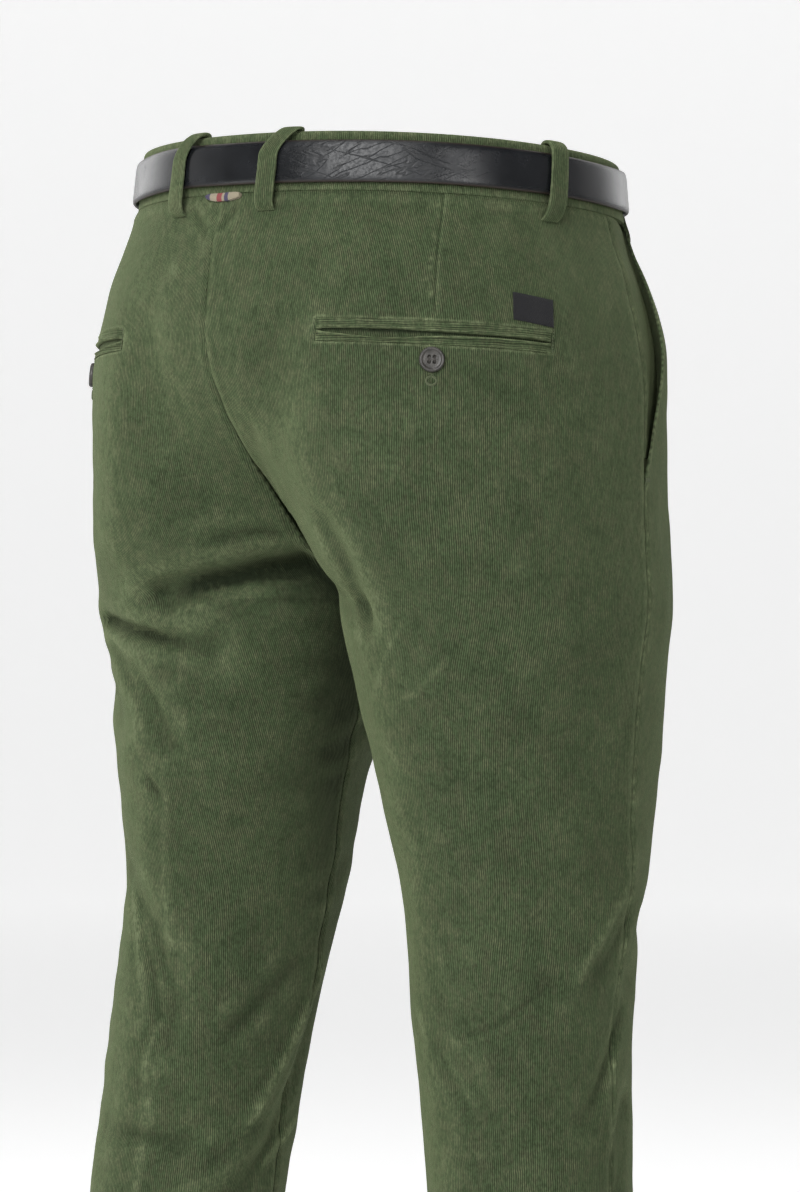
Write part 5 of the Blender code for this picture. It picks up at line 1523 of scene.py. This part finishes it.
def stitch_lines(name, lines, pitch, radius, material, share=0.72):
    sets = [stitched(points, normals, pitch, share) for points, normals in lines]
    starts, ends, normals = (np.concatenate(group) for group in zip(*sets))
    made = beads(name, starts, ends, normals, radius, material)


def tack(side, along, z):
    """A short line of points down the cloth beside the side seam, for a bar tack."""
    t = np.linspace(-0.003, 0.003, 25)
    return on_rows(side, 0.5, z + t, along + t * 0, 0.0006)


def make_fly_stitches(material):
    """The fly's stitch line on the left front, curving in to its end."""
    t = np.linspace(0, 1, 120)
    z = np.interp(t, [0, 0.78, 1], [-BAND_HEIGHT - 0.002, -0.150, -0.186])
    inwards = 0.038 * np.where(z > -0.150, 1.0, np.sqrt(np.clip(1 - ((-0.150 - z) / 0.0365) ** 2, 0, 1)))
    line = on_rows("left", 1.0, z, -inwards)
    stitch_lines("fly_stitches", [line], 0.0032, 0.00022, material)


def make_pocket_stitches(material):
    """The stitched ends of the back pockets and the tacks of the side pockets."""
    lines = []
    for side in SIDES:
        for along in (POCKET_INNER - 0.001, POCKET_OUTER + 0.001):
            z = pocket_line(along) + np.linspace(0.007, -0.007, 30)
            lines.append(on_rows(side, 0.0, z, np.full(30, along), 0.0004))
    stitch_lines("pocket_end_stitches", lines, 0.0019, 0.00025, material)
    tacks = []
    for side in SIDES:
        for z in (-0.046, -0.199):
            along = mouth_forward(np.array(z)) + 0.001
            for k in range(7):
                tacks.append(tack(side, float(along) + 0.0005 * (k - 3), z))
    stitch_lines("pocket_tacks", tacks, 0.0029, 0.0003, material, share=0.9)


def make_hem_stitches(material):
    """A stitch line round each leg, above the hem's turned-up cloth."""
    z = np.full(240, -LENGTH + HEM_HEIGHT)
    lines = []
    for side in SIDES:
        for start in (0.0, 0.5):
            lines.append(on_cloth(side, np.linspace(start + 0.004, start + 0.496, len(z)), z))
    stitch_lines("hem_stitches", lines, 0.0034, 0.0002, material, share=0.55)


def make_buttonhole(side, material):
    """The worked edge of the buttonhole: a slit behind the button that ends in an eye below it."""
    turn = np.linspace(-0.42 * np.pi, 1.42 * np.pi, 40)
    eye = np.stack([0.0027 * np.cos(turn), -0.0118 - 0.0021 * np.sin(turn)], 1)
    slit_down = np.stack([np.full(14, 0.0006), np.linspace(0.006, -0.0092, 14)], 1)
    slit_up = np.stack([np.full(14, -0.0006), np.linspace(-0.0092, 0.006, 14)], 1)
    line = np.concatenate([slit_down, eye, slit_up])
    ahead = np.gradient(line, axis=0)
    ahead /= np.linalg.norm(ahead, axis=1, keepdims=True)
    aside = np.stack([-ahead[:, 1], ahead[:, 0]], 1)
    (starts, normals), (ends, _) = (
        on_rows(side, 0.0, BUTTON_HEIGHT + edge[:, 1], BUTTON_ALONG + edge[:, 0], 0.0003)
        for edge in (line - aside * 0.0004, line + aside * 0.0009)
    )
    made = beads(f"buttonhole_{side}", starts, ends, normals, 0.00036, material, arch=0.0004)


def make_tape(material, teeth_material, slider_material, guard_material):
    """The zip behind the closed fly: tape, teeth, slider and the guard under them."""
    def strip(name, half_width, depths, thickness, node, material):
        across = np.linspace(half_width, -half_width, 29)
        z, along = np.meshgrid(np.linspace(TAPE_TOP, FLY_END, 90), across, indexing="ij")
        columns = np.linspace(half_width, -half_width, len(depths))
        depth = np.interp(-along, -columns, depths)
        outside = from_front(z, along, -depth, fine=False)
        inside = from_front(z, along, -depth - thickness, fine=False)
        grain = in_cloth(along, z)
        made = wall(name, outside, inside, material, grain=(grain, grain), wear=(z * 0, z * 0))
        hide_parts(node)

    depths = [TAPE_EDGE, ZIP_DEPTH, ZIP_DEPTH, ZIP_DEPTH, TAPE_EDGE]
    strip("zip_tape_weave", ZIP_HALF_WIDTH, depths, ZIP_WALL, "zip_tape", material)
    depths = [GUARD_DEPTH] * 5
    strip("fly_guard_cloth", GUARD_HALF_WIDTH, depths, CLOTH, "fly_guard", guard_material)
    z = np.arange(SLIDER_HEIGHTS[1] - 0.002, FLY_END + 0.004, -TOOTH_PITCH)
    side = np.where(np.arange(len(z)) % 2, 1.0, -1.0)
    depth = -(ZIP_DEPTH - 0.0004)
    starts = from_front(z, side * 0.0022, depth, fine=False)
    ends = from_front(z, -side * 0.0009, depth, fine=False)
    normals = np.broadcast_to(np.array([0.0, -1.0, 0.0]), starts.shape)
    teeth = beads("zip_teeth", starts, ends, normals, 0.00045, teeth_material, arch=0.0)
    across = np.linspace(SLIDER_HALF_WIDTH, -SLIDER_HALF_WIDTH, 13)
    z, along = np.meshgrid(np.linspace(*SLIDER_HEIGHTS, 15), across, indexing="ij")
    round_off = (along / SLIDER_HALF_WIDTH) ** 4 * 0.0004
    nearest = ZIP_DEPTH - GAP - SLIDER_WALL
    outside = from_front(z, along, -nearest - round_off, fine=False)
    inside = from_front(z, along, -nearest - SLIDER_WALL, fine=False)
    made = wall("zip_slider_metal", outside, inside, slider_material)
    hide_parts("zip_slider")


# ---------------------------------------------------------------- setting
CAMERA_TURN = np.radians(45)  # from straight behind, towards the wearer's right
CAMERA_DISTANCE = 3.1
CAMERA_HEIGHT = -0.268
IMAGE_SIZE = (800, 1192)
FOCAL_PIXELS = 1630 * CAMERA_DISTANCE  # 1630 pixels show a metre at the waist's axis
AXIS_PIXEL = 382  # the waist's axis in the picture
SENSOR = 36.0

BACKDROP_GLOW = (0.02, 0.54)  # beside the object and behind it

TOWARDS = np.array([-np.sin(CAMERA_TURN), np.cos(CAMERA_TURN), 0.0])
RIGHTWARDS = np.array([-np.cos(CAMERA_TURN), -np.sin(CAMERA_TURN), 0.0])


def make_camera():
    camera = bpy.data.cameras.new("camera")
    camera.sensor_width = SENSOR
    camera.lens = FOCAL_PIXELS * SENSOR / IMAGE_SIZE[1]
    camera.shift_x = (IMAGE_SIZE[0] / 2 - AXIS_PIXEL) / IMAGE_SIZE[1]
    camera.clip_end = 60
    holder = bpy.data.objects.new("camera", camera)
    holder.location = Vector(TOWARDS * CAMERA_DISTANCE + np.array([0, 0, CAMERA_HEIGHT]))
    holder.rotation_mode = "QUATERNION"
    holder.rotation_quaternion = Vector(-TOWARDS).to_track_quat("-Z", "Y")
    bpy.context.scene.collection.objects.link(holder)
    bpy.context.scene.camera = holder


def area_light(name, right, towards, up, size, power, colour=(1, 1, 1)):
    """A square light at a place given from the camera's side, aimed at the hips."""
    light = bpy.data.lights.new(name, "AREA")
    light.size, light.energy, light.color = size, power, colour
    holder = bpy.data.objects.new(name, light)
    place = RIGHTWARDS * right + TOWARDS * towards + np.array([0, 0, up])
    holder.location = Vector(place)
    holder.rotation_mode = "QUATERNION"
    holder.rotation_quaternion = Vector(np.array([0, 0, -0.35]) - place).to_track_quat("-Z", "Y")
    holder.visible_camera = False
    bpy.context.scene.collection.objects.link(holder)


def make_stage():
    """A pale floor at the hems that rises in a wide cove."""
    floor, start, bend, height = -LENGTH - 0.003, 9.0, 3.0, 7.0
    turn = np.linspace(0, np.pi / 2, 13)
    profile = [(0.0, floor), (3.0, floor), (6.0, floor)]
    profile += [(start + bend * np.sin(t), floor + bend * (1 - np.cos(t))) for t in turn]
    profile.append((start + bend, floor + height))
    sides = 96
    points = [(0, 0, floor)]
    around = 2 * np.pi * np.arange(sides) / sides
    for radius, z in profile[1:]:
        points += [(radius * np.cos(a), radius * np.sin(a), z) for a in around]
    faces = [(0, 1 + k, 1 + (k + 1) % sides) for k in range(sides)]
    for ring in range(len(profile) - 2):
        low, high = 1 + ring * sides, 1 + (ring + 1) * sides
        faces += [(low + k, high + k, high + (k + 1) % sides, low + (k + 1) % sides) for k in range(sides)]
    paint = Paint("stage_white", 0.9, Specular_IOR_Level=0.1)
    paint.shader.inputs["Base Color"].default_value = (0.80, 0.80, 0.80, 1)
    behind = paint.node("VectorMath", {"operation": "DOT_PRODUCT"}, n0=paint.place, n1=tuple(-TOWARDS))
    glow = paint.span(behind.outputs["Value"], 0.8, 3.0, BACKDROP_GLOW[0], BACKDROP_GLOW[1])
    paint.shader.inputs["Emission Color"].default_value = (1, 1, 1, 1)
    paint.tree.links.new(glow, paint.shader.inputs["Emission Strength"])
    mesh = bpy.data.meshes.new("stage")
    mesh.from_pydata(points, [], faces)
    mesh.shade_smooth()
    mesh.materials.append(paint.material)
    stage = bpy.data.objects.new("stage", mesh)
    bpy.context.scene.collection.objects.link(stage)


def make_light():
    scene = bpy.context.scene
    scene.view_settings.view_transform = "Standard"
    world = bpy.data.worlds.new("studio")
    world.use_nodes = True
    shade = world.node_tree.nodes["Background"]
    shade.inputs["Color"].default_value = (1.0, 1.0, 1.0, 1)
    shade.inputs["Strength"].default_value = 0.05
    scene.world = world
    area_light("key", right=-1.5, towards=3.2, up=1.3, size=2.4, power=146)
    area_light("side", right=1.5, towards=3.2, up=0.5, size=1.2, power=26)
    area_light("rim_left", right=-2.2, towards=-2.4, up=1.0, size=1.8, power=15)
    area_light("rim_right", right=2.2, towards=-2.4, up=1.0, size=1.8, power=10)
    area_light("far_left", right=-2.2, towards=-2.4, up=2.7, size=1.6, power=20)
    area_light("far_right", right=2.2, towards=-2.4, up=2.7, size=1.6, power=20)
    area_light("fill", right=-3.0, towards=0.6, up=-0.62, size=0.7, power=8)
    area_light("top", right=-0.6, towards=0.7, up=3.0, size=1.2, power=26)


def dress():
    ridge, groove = (0.066, 0.096, 0.045), (0.006, 0.0096, 0.0045)
    worn, brown = (0.128, 0.155, 0.083), (0.070, 0.079, 0.043)
    green = corduroy("needlecord", ridge, groove, worn, brown)
    # a darker copy of the needlecord, for the pieces inside the pockets and the fly: painted shade
    ridge, groove = (0.058, 0.084, 0.038), (0.006, 0.010, 0.0045)
    worn, brown = (0.095, 0.115, 0.060), (0.066, 0.070, 0.040)
    inside = corduroy("needlecord_facing", ridge, groove, worn, brown)
    sewing = thread("sewing_thread", (0.085, 0.105, 0.050))
    black = leather("black_leather")
    steel = metal("buckle_steel", (0.42, 0.41, 0.40))
    brass = metal("zip_brass", (0.45, 0.33, 0.16))
    button = horn("dark_horn")
    for side in SIDES:
        make_back(side, green)
        make_front(side, green)
        make_band(side, green)
        make_facing(side, inside)
        make_welt(side, "upper", 1, green)
        make_welt(side, "lower", -1, green)
        make_button(side, button, thread("button_thread_" + side, (0.05, 0.045, 0.04)))
        make_buttonhole(side, sewing)
    for loop in LOOPS:
        make_loop(loop, green)
    make_label(woven("label_weave", (0.007, 0.007, 0.008), (0.016, 0.016, 0.018)))
    tan, navy, red = (0.31, 0.27, 0.19), (0.06, 0.05, 0.10), (0.25, 0.05, 0.05)
    bands = [(0.0, tan), (0.3, navy), (0.42, tan), (0.5, red), (0.66, tan), (0.86, navy)]
    make_ribbon(striped("ribbon_weave", bands, RIBBON_ALONG))
    make_strap(black)
    make_keeper(black)
    make_buckle(steel)
    make_prong(steel)
    make_fly_stitches(sewing)
    make_pocket_stitches(sewing)
    make_hem_stitches(sewing)
    make_tape(woven("tape_weave", (0.035, 0.048, 0.024), (0.060, 0.078, 0.042)), brass, brass, inside)


make_camera()
make_stage()
make_light()
dress()
